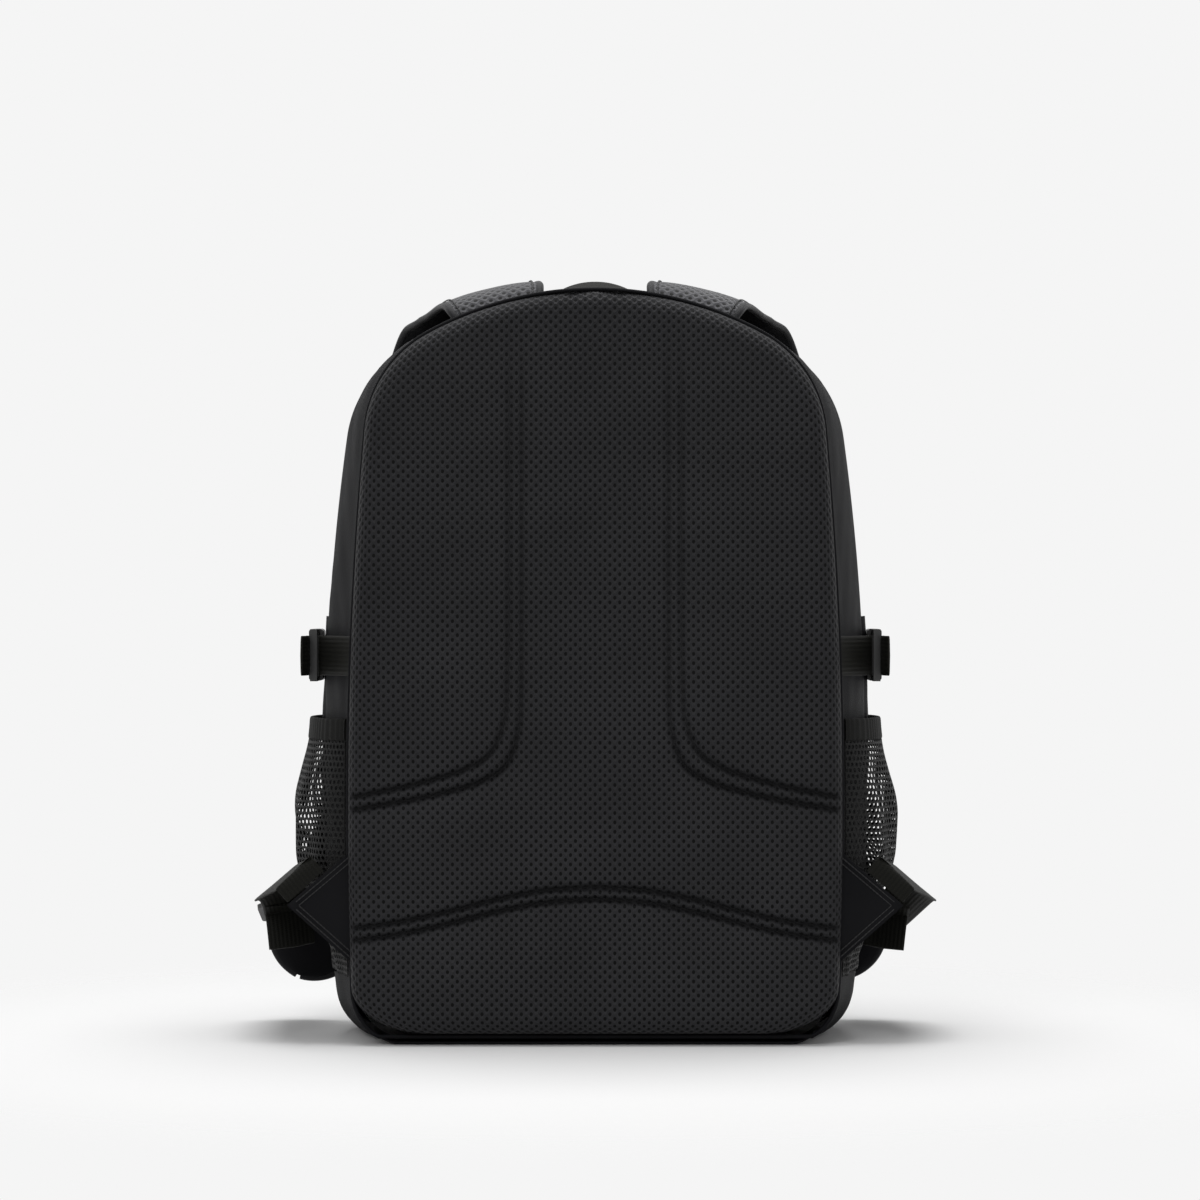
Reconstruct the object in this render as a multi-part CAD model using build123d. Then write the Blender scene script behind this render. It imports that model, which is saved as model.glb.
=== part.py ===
from build123d import *
import os
from functools import cache
from math import cos, radians, sin, sqrt

# A sports backpack standing on its base, shoulder straps thrown over the top to the front.
# Millimetres. +Z up, the wearer's side faces -Y, origin at the centre of the base's underside.
# Pieces that come in pairs are built once for each side: side -1 is -X ("left"), side +1 is +X.

# ---- Overall sizes of the bag -------------------------------------------------------------
DEPTH = 130.0            # main compartment, back seam to front seam
HEIGHT = 469.0           # crown of the back panel's outline
HALF_WIDTH = 152.0       # back panel, widest half-width
WALL = 2.0               # shell fabric with its foam backing
BULGE = 20.0             # how far the sides stand out at the zip, beyond the back panel
SEAM_GAP = 0.3           # between soft pieces that lie against each other

BACK_Y = -DEPTH / 2
FRONT_Y = DEPTH / 2
ZIP_REAR_Y = 0.0         # the zip tape runs between these two planes
ZIP_WIDTH = 26.0
ZIP_FRONT_Y = ZIP_REAR_Y + ZIP_WIDTH
ZIP_Y = ZIP_REAR_Y + ZIP_WIDTH / 2
CORNER_RADIUS = 36.0     # bottom corners
SHOULDER_RADIUS = 75.0   # where the sides turn into the arched top
WIDEST_Z = 200.0
TRAY_TOP = 42.0          # top edge of the base tray
ZIP_END_Z = 266.0        # the zip's lower ends, above the compression straps

KNEE_SHARE = 0.55        # an outline's shoulder points drop by this share of what it is drawn in
BACK_LOW_INSET = 3.0     # widest half-width to the bottom corner

# Crown height and shoulder point of each outline, from the back seam to the front seam.
KNEE_DROP = 51.0         # crown to shoulder point, back outline
KNEE_INSET = 13.0        # widest half-width to shoulder point, back outline
ZIP_CROWN_DROP = 5.0     # the zip's crown is this far below the back panel's
ZIP_KNEE_DROP = 46.0
ZIP_KNEE_INSET = 19.0
ZIP_LOW_INSET = 12.0
FRONT_BULGE = 6.0
FRONT_CROWN_DROP = 19.0
FRONT_KNEE_DROP = 48.0
FRONT_KNEE_INSET = 18.0
FRONT_LOW_INSET = 8.0

# ---- Back pad, stiffener and inner sleeve -------------------------------------------------
PAD_THICKNESS = 12.0
PAD_BASE_Z = 7.0
PAD_EDGE_RADIUS = 5.0
SHEET_THICKNESS = 1.5
LINING_THICKNESS = 0.8
SHEET_INSET = 9.0
SLEEVE_THICKNESS = 5.0
SLEEVE_Y = -46.0
SLEEVE_WIDTH = 240.0
SLEEVE_BOTTOM = WALL + 2 * SEAM_GAP + LINING_THICKNESS
SLEEVE_TOP = 300.0
SLEEVE_BINDING = 12.0
LINING_START = 4.0       # behind the stiffener, from the back seam
PIPING_WIDTH = 2.0
PIPING_BASE_Z = 4.0      # the piping stops short of the floor

# ---- Zips ---------------------------------------------------------------------------------
COIL_WIDTH = 5.6
COIL_HEIGHT = 1.4
SLIDER_LENGTH = 11.0
SLIDER_WIDTH = 9.0
SLIDER_HEIGHT = 2.6
SLIDER_GAP = 0.3         # running gap over the coil
SLIDER_REST_ANGLE = 2.8  # each main slider sits this far from the crown when the bag is closed
BAIL_PIN_RADIUS = 0.8
BAIL_HEIGHT = 2.3        # pin axis above the slider's top face
POST_WIDTH = 3.2         # the two ears that hold the bail pin
POST_THICKNESS = 0.9
PULLER_LENGTH = 23.0
PULLER_WIDTH = 6.0
PULLER_THICKNESS = 1.5
PULLER_HOLE_RADIUS = 1.1
PULLER_SIDE_GAP = 0.4
GRIP_LENGTH = 9.0
GRIP_PROUD = 0.6

# ---- Front pocket -------------------------------------------------------------------------
POCKET_HALF_WIDTH = 90.0
POCKET_BOTTOM = 30.0
POCKET_TOP = 330.0
POCKET_DEPTH = 34.0
POCKET_RADIUS = 24.0
POCKET_ZIP_Z = 268.0
POCKET_ZIP_BAND = 22.0
POCKET_COIL_INSET = 6.0
POCKET_SLIDER_X = -POCKET_HALF_WIDTH + 22.0

# ---- Mesh side pockets --------------------------------------------------------------------
MESH_WALL = 1.6
MESH_CENTRE_X = HALF_WIDTH - 2.0
MESH_HALF_DEPTH = 62.0
MESH_TOP = 189.0
MESH_BOTTOM = TRAY_TOP
MESH_REACH = ((MESH_BOTTOM, 12.0), (70.0, 23.5), (110.0, 39.5), (150.0, 42.0), (MESH_TOP, 32.0))
BINDING_HEIGHT = 14.0
BINDING_PROUD = 0.6

# ---- Haul handle --------------------------------------------------------------------------
HANDLE_SPAN = 48.0
HANDLE_RISE = 11.5
HANDLE_WEBBING = 20.0
HANDLE_THICKNESS = 2.2
HANDLE_Y = -36.0
HANDLE_ARCH = ((-1.0, 0.0), (-0.93, 0.45), (-0.72, 0.82), (-0.38, 0.97), (0.0, 1.0))  # half span, rise

# ---- Shoulder straps ----------------------------------------------------------------------
STRAP_THICKNESS = 9.0
STRAP_TIP_WIDTH = 62.0
STRAP_TILT = 17.0        # the strap lies this much down the slope of the arched top
STRAP_END_Y = FRONT_Y + 20.0      # middle of the strap's thickness at its lower end
STRAP_SPLAY = {-1: 51.0, 1: 29.0}    # how far each lower end swings out from the front
STRAP_WEBBING = 30.0                 # webbing of the wings and ladder locks
STRAP_WEBBING_THICKNESS = 1.5
SIDE_NAMES = {-1: "left", 1: "right"}
DRAWN_HALF_WIDTH, DRAWN_DEPTH, DRAWN_HEIGHT = 152.0, 130.0, 469.0  # the bag that strap points are drawn on

# ---- Wings at the lower corners -----------------------------------------------------------
WING_LOW_Z = 47.0
WING_HIGH_Z = 125.0
WING_TIP_X = HALF_WIDTH + 40.0
WING_TIP_Z = 87.0
WING_THICKNESS = 1.8
WEBBING_GAP = 0.85       # lets the webbing swing on its seam without cutting into the wing

# ---- Ladder locks -------------------------------------------------------------------------
LOCK_INNER = 31.5
LOCK_OUTER = 38.0
LOCK_THICKNESS = 3.0
LOCK_BAR = 4.0
LOCK_PITCH = 11.0        # far bar to middle bar, and middle bar to near bar
LOCK_BAR_RADIUS = 1.9
LOCK_TILT = 25.0         # of the lock's length above the level, towards the wearer's side
LOCK_ROLL = 9.0          # its inner end is the higher one
LOCK_CENTRE = {-1: (HALF_WIDTH + 48.0, FRONT_Y - 13.0, 76.0), 1: (HALF_WIDTH + 37.0, FRONT_Y - 6.5, 75.0)}
TAB_X = {-1: HALF_WIDTH + 48.0, 1: HALF_WIDTH + 36.0}
TAB_Z = (68.0, 60.0)     # where the two layers of the loop are sewn to the strap
TAIL_LENGTH = 26.0

# ---- Compression straps and their buckles -------------------------------------------------
COMP_Z = 242.0
COMP_WEBBING = 25.0
COMP_THICKNESS = 1.6
BUCKLE_X = HALF_WIDTH + BULGE + 6.5
BUCKLE_WIDTH = 33.0
BUCKLE_THICKNESS = 9.0
BUCKLE_WALL = 1.8
FEMALE_START_Y = 0.0
FEMALE_BODY = 24.0
FEMALE_TAIL = 10.0
MALE_THICKNESS = 4.4
MALE_RAIL = 3.3
MALE_LENGTH = 22.0
MALE_FIT = 0.35
BAR_DEPTH = 3.4
SHOULDER_DEPTH = 5.5
ARM_LENGTH = 19.0
ARM_WIDTH = 4.0
RIB_WIDTH = 5.0
WINDOW_START = 7.0
WINDOW_LENGTH = 9.0
COMP_TAIL = 22.0


ZIP_CROWN = HEIGHT - ZIP_CROWN_DROP


def sized(y):
    """Upright plane at depth y: local x is +X, local y is +Z, facing -Y."""
    return Plane(origin=(0, y, 0), x_dir=(1, 0, 0), z_dir=(0, -1, 0))


def outline(y, widest, low_inset, knee_inset, knee_drop, crown, inset=0.0, base=0.0):
    """Bag outline at depth y, drawn in by inset: flat base, bowed sides, arched top, rounded corners."""
    low = (widest - low_inset - inset, base + inset)
    bow = (widest - inset, WIDEST_Z)
    knee = (widest - knee_inset - inset, crown - knee_drop - KNEE_SHARE * inset)
    edges = [
        Line((-low[0], low[1]), low),
        ThreePointArc(low, bow, knee),
        ThreePointArc(knee, (0, crown - inset), (-knee[0], knee[1])),
        ThreePointArc((-knee[0], knee[1]), (-bow[0], bow[1]), (-low[0], low[1])),
    ]
    face = make_face(edges)
    low_corners = face.vertices().sort_by(Axis.Y)[:2]
    face = fillet(low_corners, CORNER_RADIUS - inset)
    high_corners = [corner for corner in face.vertices() if abs(corner.Y - knee[1]) < 0.01]
    face = fillet(high_corners, SHOULDER_RADIUS - inset)
    return sized(y) * face


def back_outline(y, inset=0.0, base=0.0):
    return outline(y, HALF_WIDTH, BACK_LOW_INSET, KNEE_INSET, KNEE_DROP, HEIGHT, inset, base)


def zip_outline(y, inset=0.0):
    return outline(y, HALF_WIDTH + BULGE, ZIP_LOW_INSET, ZIP_KNEE_INSET, ZIP_KNEE_DROP, ZIP_CROWN, inset)


def front_outline(y, inset=0.0):
    crown = HEIGHT - FRONT_CROWN_DROP
    return outline(y, HALF_WIDTH + FRONT_BULGE, FRONT_LOW_INSET, FRONT_KNEE_INSET, FRONT_KNEE_DROP, crown, inset)


@cache
def lump(inset=0.0):
    """The bag's whole closed form drawn in by inset: rear, zip and front stretches."""
    rear = loft([back_outline(BACK_Y, inset), zip_outline(ZIP_REAR_Y, inset)], ruled=True)
    middle = loft([zip_outline(ZIP_REAR_Y, inset), zip_outline(ZIP_FRONT_Y, inset)], ruled=True)
    front = loft([zip_outline(ZIP_FRONT_Y, inset), front_outline(FRONT_Y, inset)], ruled=True)
    return rear + middle + front


def slab(y0, y1, z0, z1, half_width=400.0):
    """Box between two depths and two heights, for cutting the shell into its fabric pieces."""
    return Pos(0, (y0 + y1) / 2, (z0 + z1) / 2) * Box(2 * half_width, y1 - y0, z1 - z0)


def arc_radius(half_chord, rise):
    return (half_chord ** 2 + rise ** 2) / (2 * rise)


ZIP_ARC_RADIUS = arc_radius(HALF_WIDTH + BULGE - ZIP_KNEE_INSET, ZIP_KNEE_DROP)
ZIP_ARC_Z = ZIP_CROWN - ZIP_ARC_RADIUS


def write(name, shape):
    """One STEP file for each node; pieces of a group are kept as separate solids."""
    solids = shape.solids()
    export_step(solids[0] if len(solids) == 1 else Compound(children=list(solids)), f"parts/{name}.step")


def ribbon(stations, thickness):
    """Flat strap through stations (centre, across, width): rectangular sections joined by ruled pieces."""
    centres = [Vector(*centre) for centre, _, _ in stations]
    sections = []
    for i, (_, across, width) in enumerate(stations):
        before = centres[max(i - 1, 0)]
        after = centres[min(i + 1, len(centres) - 1)]
        along = (after - before).normalized()
        side = Vector(*across)
        side = (side - along * side.dot(along)).normalized()
        sections.append(Plane(origin=centres[i], x_dir=side, z_dir=along) * Rectangle(width, thickness))
    pieces = [loft([a, b], ruled=True) for a, b in zip(sections, sections[1:])]
    return pieces[0].fuse(*pieces[1:])


# ---- Shell --------------------------------------------------------------------------------
def build_shell():
    """Fabric shell: base tray, rear gusset, zip tape, front gusset and front panel."""
    ring = lump() - lump(WALL)
    above = slab(BACK_Y, FRONT_Y, TRAY_TOP, 2 * HEIGHT)
    tray = ring & slab(BACK_Y, FRONT_Y, -10, TRAY_TOP)
    upper = ring & above
    tape = upper & slab(ZIP_REAR_Y, ZIP_FRONT_Y, ZIP_END_Z, 2 * HEIGHT)
    rear = upper & slab(BACK_Y, ZIP_REAR_Y, TRAY_TOP, 2 * HEIGHT)
    front = upper & (slab(ZIP_FRONT_Y, FRONT_Y, TRAY_TOP, 2 * HEIGHT)
                     + slab(ZIP_REAR_Y, ZIP_FRONT_Y, TRAY_TOP, ZIP_END_Z))
    write("base_tray", tray)
    write("rear_gusset", rear)
    write("main_zip_tape", tape)
    write("front_gusset", front)
    write("front_panel", extrude(front_outline(FRONT_Y), amount=-WALL))
    coil_ring = extrude(zip_outline(ZIP_Y + COIL_WIDTH / 2, -COIL_HEIGHT), amount=COIL_WIDTH)
    coil_ring -= extrude(zip_outline(ZIP_Y + COIL_WIDTH), amount=2 * COIL_WIDTH)
    write("main_zip_coil", coil_ring & slab(ZIP_REAR_Y, ZIP_FRONT_Y, ZIP_END_Z, 2 * HEIGHT))
    tube = lump(WALL + SEAM_GAP) - lump(WALL + SEAM_GAP + LINING_THICKNESS)
    write("lining", tube & slab(BACK_Y + LINING_START, FRONT_Y - SEAM_GAP, 0, HEIGHT))


def piping(face_outline, y0):
    """Cord sewn into a seam, standing proud of the outline all round."""
    outer = extrude(face_outline(y0 + PIPING_WIDTH, -SEAM_GAP - PIPING_WIDTH), amount=PIPING_WIDTH)
    return outer - extrude(face_outline(y0 + PIPING_WIDTH, -SEAM_GAP), amount=PIPING_WIDTH)


def build_back():
    """Foam back pad in spacer mesh, the seam piping, the stiffener sheet and the inner sleeve."""
    pad = extrude(back_outline(BACK_Y, 0.0, PAD_BASE_Z), amount=PAD_THICKNESS)
    face_edges = pad.faces().sort_by(Axis.Y)[0].edges()
    write("back_pad", fillet(face_edges, PAD_EDGE_RADIUS))
    above_floor = slab(BACK_Y - PAD_THICKNESS, FRONT_Y + PAD_THICKNESS, PIPING_BASE_Z, 2 * HEIGHT)
    write("back_piping", piping(back_outline, BACK_Y - SEAM_GAP - PIPING_WIDTH) & above_floor)
    write("front_piping", piping(front_outline, FRONT_Y + SEAM_GAP) & above_floor)
    sheet = extrude(back_outline(BACK_Y + SEAM_GAP + SHEET_THICKNESS, SHEET_INSET), amount=SHEET_THICKNESS)
    write("frame_sheet", sheet)
    sleeve_z = (SLEEVE_BOTTOM + SLEEVE_TOP) / 2
    sleeve = Pos(0, SLEEVE_Y, sleeve_z) * Box(SLEEVE_WIDTH, SLEEVE_THICKNESS, SLEEVE_TOP - SLEEVE_BOTTOM)
    write("inner_sleeve", sleeve)
    binding = Pos(0, SLEEVE_Y, SLEEVE_TOP + SLEEVE_BINDING / 2)
    write("inner_sleeve_binding", binding * Box(SLEEVE_WIDTH, SLEEVE_THICKNESS + 1.5, SLEEVE_BINDING))


# ---- Zip sliders --------------------------------------------------------------------------
def slider():
    """Slider body centred on the origin: bottom face at z 0, zip along X, bail pin along Y."""
    body = Pos(0, 0, SLIDER_HEIGHT / 2) * Box(SLIDER_LENGTH, SLIDER_WIDTH, SLIDER_HEIGHT)
    body = fillet(body.edges().filter_by(Axis.Z), 2.5)
    half_gap = PULLER_WIDTH / 2 + PULLER_SIDE_GAP
    post_height = BAIL_HEIGHT + BAIL_PIN_RADIUS + 0.5
    post = Box(POST_WIDTH, POST_THICKNESS, post_height)
    y = half_gap + POST_THICKNESS / 2
    z = SLIDER_HEIGHT + post_height / 2
    pin = Rot(90, 0, 0) * Cylinder(BAIL_PIN_RADIUS, 2 * half_gap + POST_THICKNESS)
    return body + Pos(0, y, z) * post + Pos(0, -y, z) * post + Pos(0, 0, SLIDER_HEIGHT + BAIL_HEIGHT) * pin


def puller(direction):
    """Pull tab lying along +X or -X, its eye round the bail pin."""
    z = SLIDER_HEIGHT + BAIL_HEIGHT
    eye_radius = BAIL_HEIGHT - SLIDER_GAP
    tab = Pos(direction * PULLER_LENGTH / 2, 0, z) * Box(PULLER_LENGTH, PULLER_WIDTH, PULLER_THICKNESS)
    eye = Pos(0, 0, z) * Rot(90, 0, 0) * Cylinder(eye_radius, PULLER_WIDTH)
    grip_x = direction * (PULLER_LENGTH - GRIP_LENGTH / 2)
    grip_box = Box(GRIP_LENGTH, PULLER_WIDTH + 2 * GRIP_PROUD, PULLER_THICKNESS + GRIP_PROUD)
    hole = Pos(0, 0, z) * Rot(90, 0, 0) * Cylinder(PULLER_HOLE_RADIUS, 2 * PULLER_WIDTH)
    return tab + eye + Pos(grip_x, 0, z) * grip_box - hole


def build_zip_sliders():
    """Two main sliders either side of the crown, and the front pocket's slider."""
    base_radius = ZIP_ARC_RADIUS + COIL_HEIGHT + SLIDER_GAP
    for side, name in SIDE_NAMES.items():
        place = Pos(0, ZIP_Y, ZIP_ARC_Z) * Rot(0, side * SLIDER_REST_ANGLE, 0) * Pos(0, 0, base_radius)
        write(f"main_slider_{name}", place * slider())
        write(f"main_puller_{name}", place * puller(side))
    face_y = FRONT_Y + WALL + POCKET_DEPTH + COIL_HEIGHT + SLIDER_GAP
    pocket = Pos(POCKET_SLIDER_X, face_y, POCKET_ZIP_Z) * Rot(-90, 0, 0)
    write("pocket_slider", pocket * slider())
    write("pocket_puller", pocket * puller(1))


# ---- Front pocket -------------------------------------------------------------------------
def build_front_pocket():
    """Cargo pocket on the front panel: gusset wall, two face panels and a straight zip between."""
    y0 = FRONT_Y + WALL
    y1 = y0 + POCKET_DEPTH
    height = POCKET_TOP - POCKET_BOTTOM
    middle = Pos(0, (POCKET_TOP + POCKET_BOTTOM) / 2)
    face = middle * RectangleRounded(2 * POCKET_HALF_WIDTH, height, POCKET_RADIUS)
    inner = middle * RectangleRounded(2 * (POCKET_HALF_WIDTH - WALL), height - 2 * WALL, POCKET_RADIUS - WALL)
    wall = extrude(sized(y1 - WALL) * face, amount=POCKET_DEPTH - WALL)
    wall -= extrude(sized(y1) * inner, amount=POCKET_DEPTH + 5)
    write("front_pocket_gusset", wall)
    plate = extrude(sized(y1) * face, amount=WALL)
    low = POCKET_ZIP_Z - POCKET_ZIP_BAND / 2
    high = POCKET_ZIP_Z + POCKET_ZIP_BAND / 2
    write("front_pocket_lower_face", plate & slab(y0, y1 + 1, 0, low))
    write("front_pocket_upper_face", plate & slab(y0, y1 + 1, high, HEIGHT))
    write("front_pocket_zip_tape", plate & slab(y0, y1 + 1, low, high))
    coil = Pos(0, y1 + COIL_HEIGHT / 2, POCKET_ZIP_Z)
    write("front_pocket_zip_coil", coil * Box(2 * (POCKET_HALF_WIDTH - POCKET_COIL_INSET), COIL_HEIGHT, COIL_WIDTH))


# ---- Mesh pockets -------------------------------------------------------------------------
def mesh_form(side, shrink, extra_top=0.0):
    """Closed belly of a side pocket: half ellipses that swell and close again towards the tray."""
    sections = []
    for z, reach in MESH_REACH:
        level = z + (extra_top if z == MESH_TOP else 0.0)
        ellipse = Ellipse(reach - shrink, MESH_HALF_DEPTH - shrink)
        sections.append(Pos(side * MESH_CENTRE_X, 0, level) * ellipse)
    return loft(sections)


def build_mesh_pockets():
    """Open-topped mesh pocket and its elastic binding on each side gusset."""
    keep_off = lump(-SEAM_GAP)
    top_reach = MESH_REACH[-1][1]
    for side, name in SIDE_NAMES.items():
        belly = mesh_form(side, 0.0) - mesh_form(side, MESH_WALL, 0.01)
        floor = mesh_form(side, 0.0) & slab(-200, 200, MESH_BOTTOM, MESH_BOTTOM + MESH_WALL)
        write(f"mesh_pocket_{name}", largest(belly + floor - keep_off))
        band = Pos(side * MESH_CENTRE_X, 0, MESH_TOP)
        outer = extrude(band * Ellipse(top_reach + BINDING_PROUD, MESH_HALF_DEPTH + BINDING_PROUD),
                        amount=BINDING_HEIGHT)
        inner_form = Ellipse(top_reach - MESH_WALL - BINDING_PROUD, MESH_HALF_DEPTH - MESH_WALL - BINDING_PROUD)
        write(f"pocket_binding_{name}", largest(outer - extrude(band * inner_form, amount=BINDING_HEIGHT) - keep_off))


def largest(shape):
    """The one solid that stays outside the bag after the bag's own form is taken away."""
    return shape.solids().sort_by(SortBy.VOLUME)[-1]


# ---- Haul handle --------------------------------------------------------------------------
def build_handle():
    """Webbing arch sewn down on the rear gusset at the crown, between the shoulder straps."""
    half = HANDLE_SPAN / 2
    arch = list(HANDLE_ARCH) + [(-share, rise) for share, rise in reversed(HANDLE_ARCH[:-1])]
    base_z = HEIGHT - ZIP_CROWN_DROP * (HANDLE_Y - BACK_Y) / (ZIP_REAR_Y - BACK_Y)
    stations = [((half * share, HANDLE_Y, base_z + rise * HANDLE_RISE), (0, 1, 0), HANDLE_WEBBING)
                for share, rise in arch]
    write("haul_handle", largest(ribbon(stations, HANDLE_THICKNESS) - lump(-SEAM_GAP)))


# ---- Shoulder straps ----------------------------------------------------------------------
def follow(x, y, z, *width):
    """A point drawn on the bag of the drawn sizes, moved with the bag's width, depth and height."""
    share = min(max((z - 100.0) / 320.0, 0.0), 1.0)
    wide = x + (HALF_WIDTH - DRAWN_HALF_WIDTH) * min(x / 131.0, 1.0)
    deep = y + (DEPTH - DRAWN_DEPTH) / 2 * min(max(2 * y / DRAWN_DEPTH, -1.0), 1.0)
    return (wide, deep, z + (HEIGHT - DRAWN_HEIGHT) * share, *width)


def strap_route(side):
    """Centre points from the sewn top end, over the crown and down the front to the rounded tip."""
    swing = STRAP_SPLAY[side]
    over_top = [(62, -61, 464.8, 70), (63, -50, 470.5, 70), (65, -30, 474, 70), (69, -5, 472, 69),
                (75, 20, 468, 68), (84, 45, 459, 66), (95, 66, 447, 64), (104, 77.5, 427, 62)]
    down_front = [(113, 81.5, 400, 60), (121, 82, 360, 58), (127, 82, 300, 57), (131, 82, 235, 57)]
    swung = [(0.14, 82, 180, 58), (0.42, 83, 124, 60), (1.0, 85, 62, STRAP_TIP_WIDTH)]
    tip = [(1.12, 85.5, 48, 60), (1.20, 86, 38, 46), (1.25, 86, 32, 30), (1.27, 86, 29.5, 14)]
    route = over_top + down_front
    route += [(131 + swing * share, y, z, width) for share, y, z, width in swung + tip]
    return [follow(*station) for station in route]


def strap_across(z):
    """Width direction: tilted with the arched top, coming level down the front."""
    share = min(max((z - HEIGHT + 39.0) / 36.0, 0.0), 1.0)
    tilt = radians(STRAP_TILT * share)
    return cos(tilt), sin(tilt)


def padded_strap(side):
    """Padded strap in foam, with spacer mesh on the side that faces out here."""
    stations = []
    for x, y, z, width in strap_route(side):
        level, drop = strap_across(z)
        stations.append(((side * x, y, z), (side * level, 0, -drop), width))
    return largest(ribbon(stations, STRAP_THICKNESS) - lump(-SEAM_GAP))


# ---- Wings, webbing and ladder locks ------------------------------------------------------
WING_INNER_X = HALF_WIDTH - BACK_LOW_INSET
WING_Y = BACK_Y - WING_THICKNESS / 2 - SEAM_GAP
WING_EDGE = Vector(WING_TIP_X - WING_INNER_X, 0, WING_TIP_Z - WING_HIGH_Z).normalized()
WING_OUT = Vector(-WING_EDGE.Z, 0, WING_EDGE.X)
WING_TIP = Vector(WING_TIP_X, WING_Y, WING_TIP_Z)
WEBBING_ROOT = WING_TIP - WING_EDGE * (STRAP_WEBBING / 2 + 1.5) + WING_OUT * WEBBING_GAP


def wing():
    """Nylon triangle sewn into the back seam; the adjuster webbing leaves its upper edge square."""
    corners = [(WING_INNER_X, WING_HIGH_Z), (WING_TIP_X, WING_TIP_Z), (WING_INNER_X, WING_LOW_Z)]
    plate = extrude(sized(WING_Y + WING_THICKNESS / 2) * make_face(Polyline(*corners, close=True)),
                    amount=WING_THICKNESS)
    seam = 2 * SEAM_GAP + PIPING_WIDTH
    return plate - extrude(back_outline(BACK_Y + WING_THICKNESS, -seam), amount=3 * WING_THICKNESS + PIPING_WIDTH)


def lock_plane(side):
    """Frame of a right-hand ladder lock: x across the webbing, y towards the strap, z outward."""
    across = Vector(cos(radians(LOCK_ROLL)), 0, -sin(radians(LOCK_ROLL)))
    back = Vector(0, -cos(radians(LOCK_TILT)), sin(radians(LOCK_TILT)))
    back = (back - across * back.dot(across)).normalized()
    return Plane(origin=LOCK_CENTRE[side], x_dir=across, z_dir=back.cross(across))


def ladder_lock(side):
    """Acetal frame with three bars and two slots."""
    length = 2 * LOCK_PITCH + LOCK_BAR
    frame = fillet(Box(LOCK_OUTER, length, LOCK_THICKNESS).edges().filter_by(Axis.Z), 3.0)
    slot = Box(LOCK_INNER, LOCK_PITCH - LOCK_BAR, 3 * LOCK_THICKNESS)
    return lock_plane(side) * (frame - Pos(0, LOCK_PITCH / 2, 0) * slot - Pos(0, -LOCK_PITCH / 2, 0) * slot)


def in_lock(plane, points, width):
    """Webbing stations given as (along, above) the ladder lock's middle bar."""
    return [(tuple(plane.from_local_coords(Vector(0, along, above))), tuple(plane.x_dir), width)
            for along, above in points]


def adjuster_webbing(side):
    """Webbing from the wing round the pocket, through the lock over its middle bar, to a free tail."""
    plane = lock_plane(side)
    start = WEBBING_ROOT
    fold = start + WING_OUT * 11
    across = tuple(WING_EDGE)
    lift = LOCK_BAR_RADIUS + STRAP_WEBBING_THICKNESS
    stations = [(tuple(start), across, STRAP_WEBBING),
                (tuple(start + WING_OUT * 8), across, STRAP_WEBBING),
                (tuple(fold + Vector(0, 2, 0)), across, STRAP_WEBBING),
                (tuple(fold + Vector(1, 9, -1)), across, STRAP_WEBBING),
                (follow(200, -32, 99), across, STRAP_WEBBING),
                (follow(205, -6, 94), (0.80, 0, -0.60), STRAP_WEBBING),
                (follow(202 if side < 0 else 203, 22, 88), (0.92, 0, -0.39), STRAP_WEBBING)]
    near = [(-20, -lift), (-LOCK_PITCH - 2, -lift), (-8.4, -2.8), (-5.2, 0), (-3.4, 2.4), (0, lift)]
    far = [(3.0, 2.4), (4.4, 0), (4.6, -4), (5.0, -4 - TAIL_LENGTH / 2), (6.0, -4 - TAIL_LENGTH)]
    return ribbon(stations + in_lock(plane, near + far, STRAP_WEBBING), STRAP_WEBBING_THICKNESS)


def lock_tab(side):
    """Webbing loop sewn to the strap, round the lock's far bar."""
    plane = lock_plane(side)
    lift = LOCK_BAR_RADIUS + STRAP_WEBBING_THICKNESS
    bar = LOCK_PITCH
    points = [(bar + 4, lift + 0.2), (bar, lift), (bar - 2.6, 2.0), (bar - 3.5, 0), (bar - 2.6, -2.0),
              (bar, -lift), (bar + 4, -lift - 0.2)]
    sewn_y = STRAP_END_Y - STRAP_THICKNESS / 2 - 2 * SEAM_GAP
    ends = [((TAB_X[side], sewn_y + 3, z), tuple(plane.x_dir), STRAP_WEBBING) for z in TAB_Z]
    stations = [ends[0]] + in_lock(plane, points, STRAP_WEBBING) + [ends[1]]
    return ribbon(stations, STRAP_WEBBING_THICKNESS) & slab(BACK_Y, sewn_y, 0, HEIGHT)


def build_carrying_parts():
    """Straps, ladder locks, webbing and wings of both sides; each is drawn at +X and mirrored for -X."""
    for side, name in SIDE_NAMES.items():
        strap = padded_strap(1) if side > 0 else mirror(padded_strap(-1), Plane.YZ)
        shapes = {
            "shoulder_strap": strap,
            "lock_tab": lock_tab(side),
            "ladder_lock": ladder_lock(side),
            "adjuster_webbing": adjuster_webbing(side),
            "wing": wing(),
        }
        for piece, shape in shapes.items():
            write(f"{piece}_{name}", shape if side > 0 else mirror(shape, Plane.YZ))


# ---- Compression straps -------------------------------------------------------------------
def webbing_path(points):
    """Compression webbing through (x, y) points at its own height."""
    stations = [((x, y, COMP_Z), (0, 0, 1), COMP_WEBBING) for x, y in points]
    return ribbon(stations, COMP_THICKNESS)


def buckle_box(x_size, y0, y1, z_size, z=0.0):
    """Box of the buckle between two depths, about its own centre line."""
    return Pos(BUCKLE_X, (y0 + y1) / 2, COMP_Z + z) * Box(x_size, y1 - y0, z_size)


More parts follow.
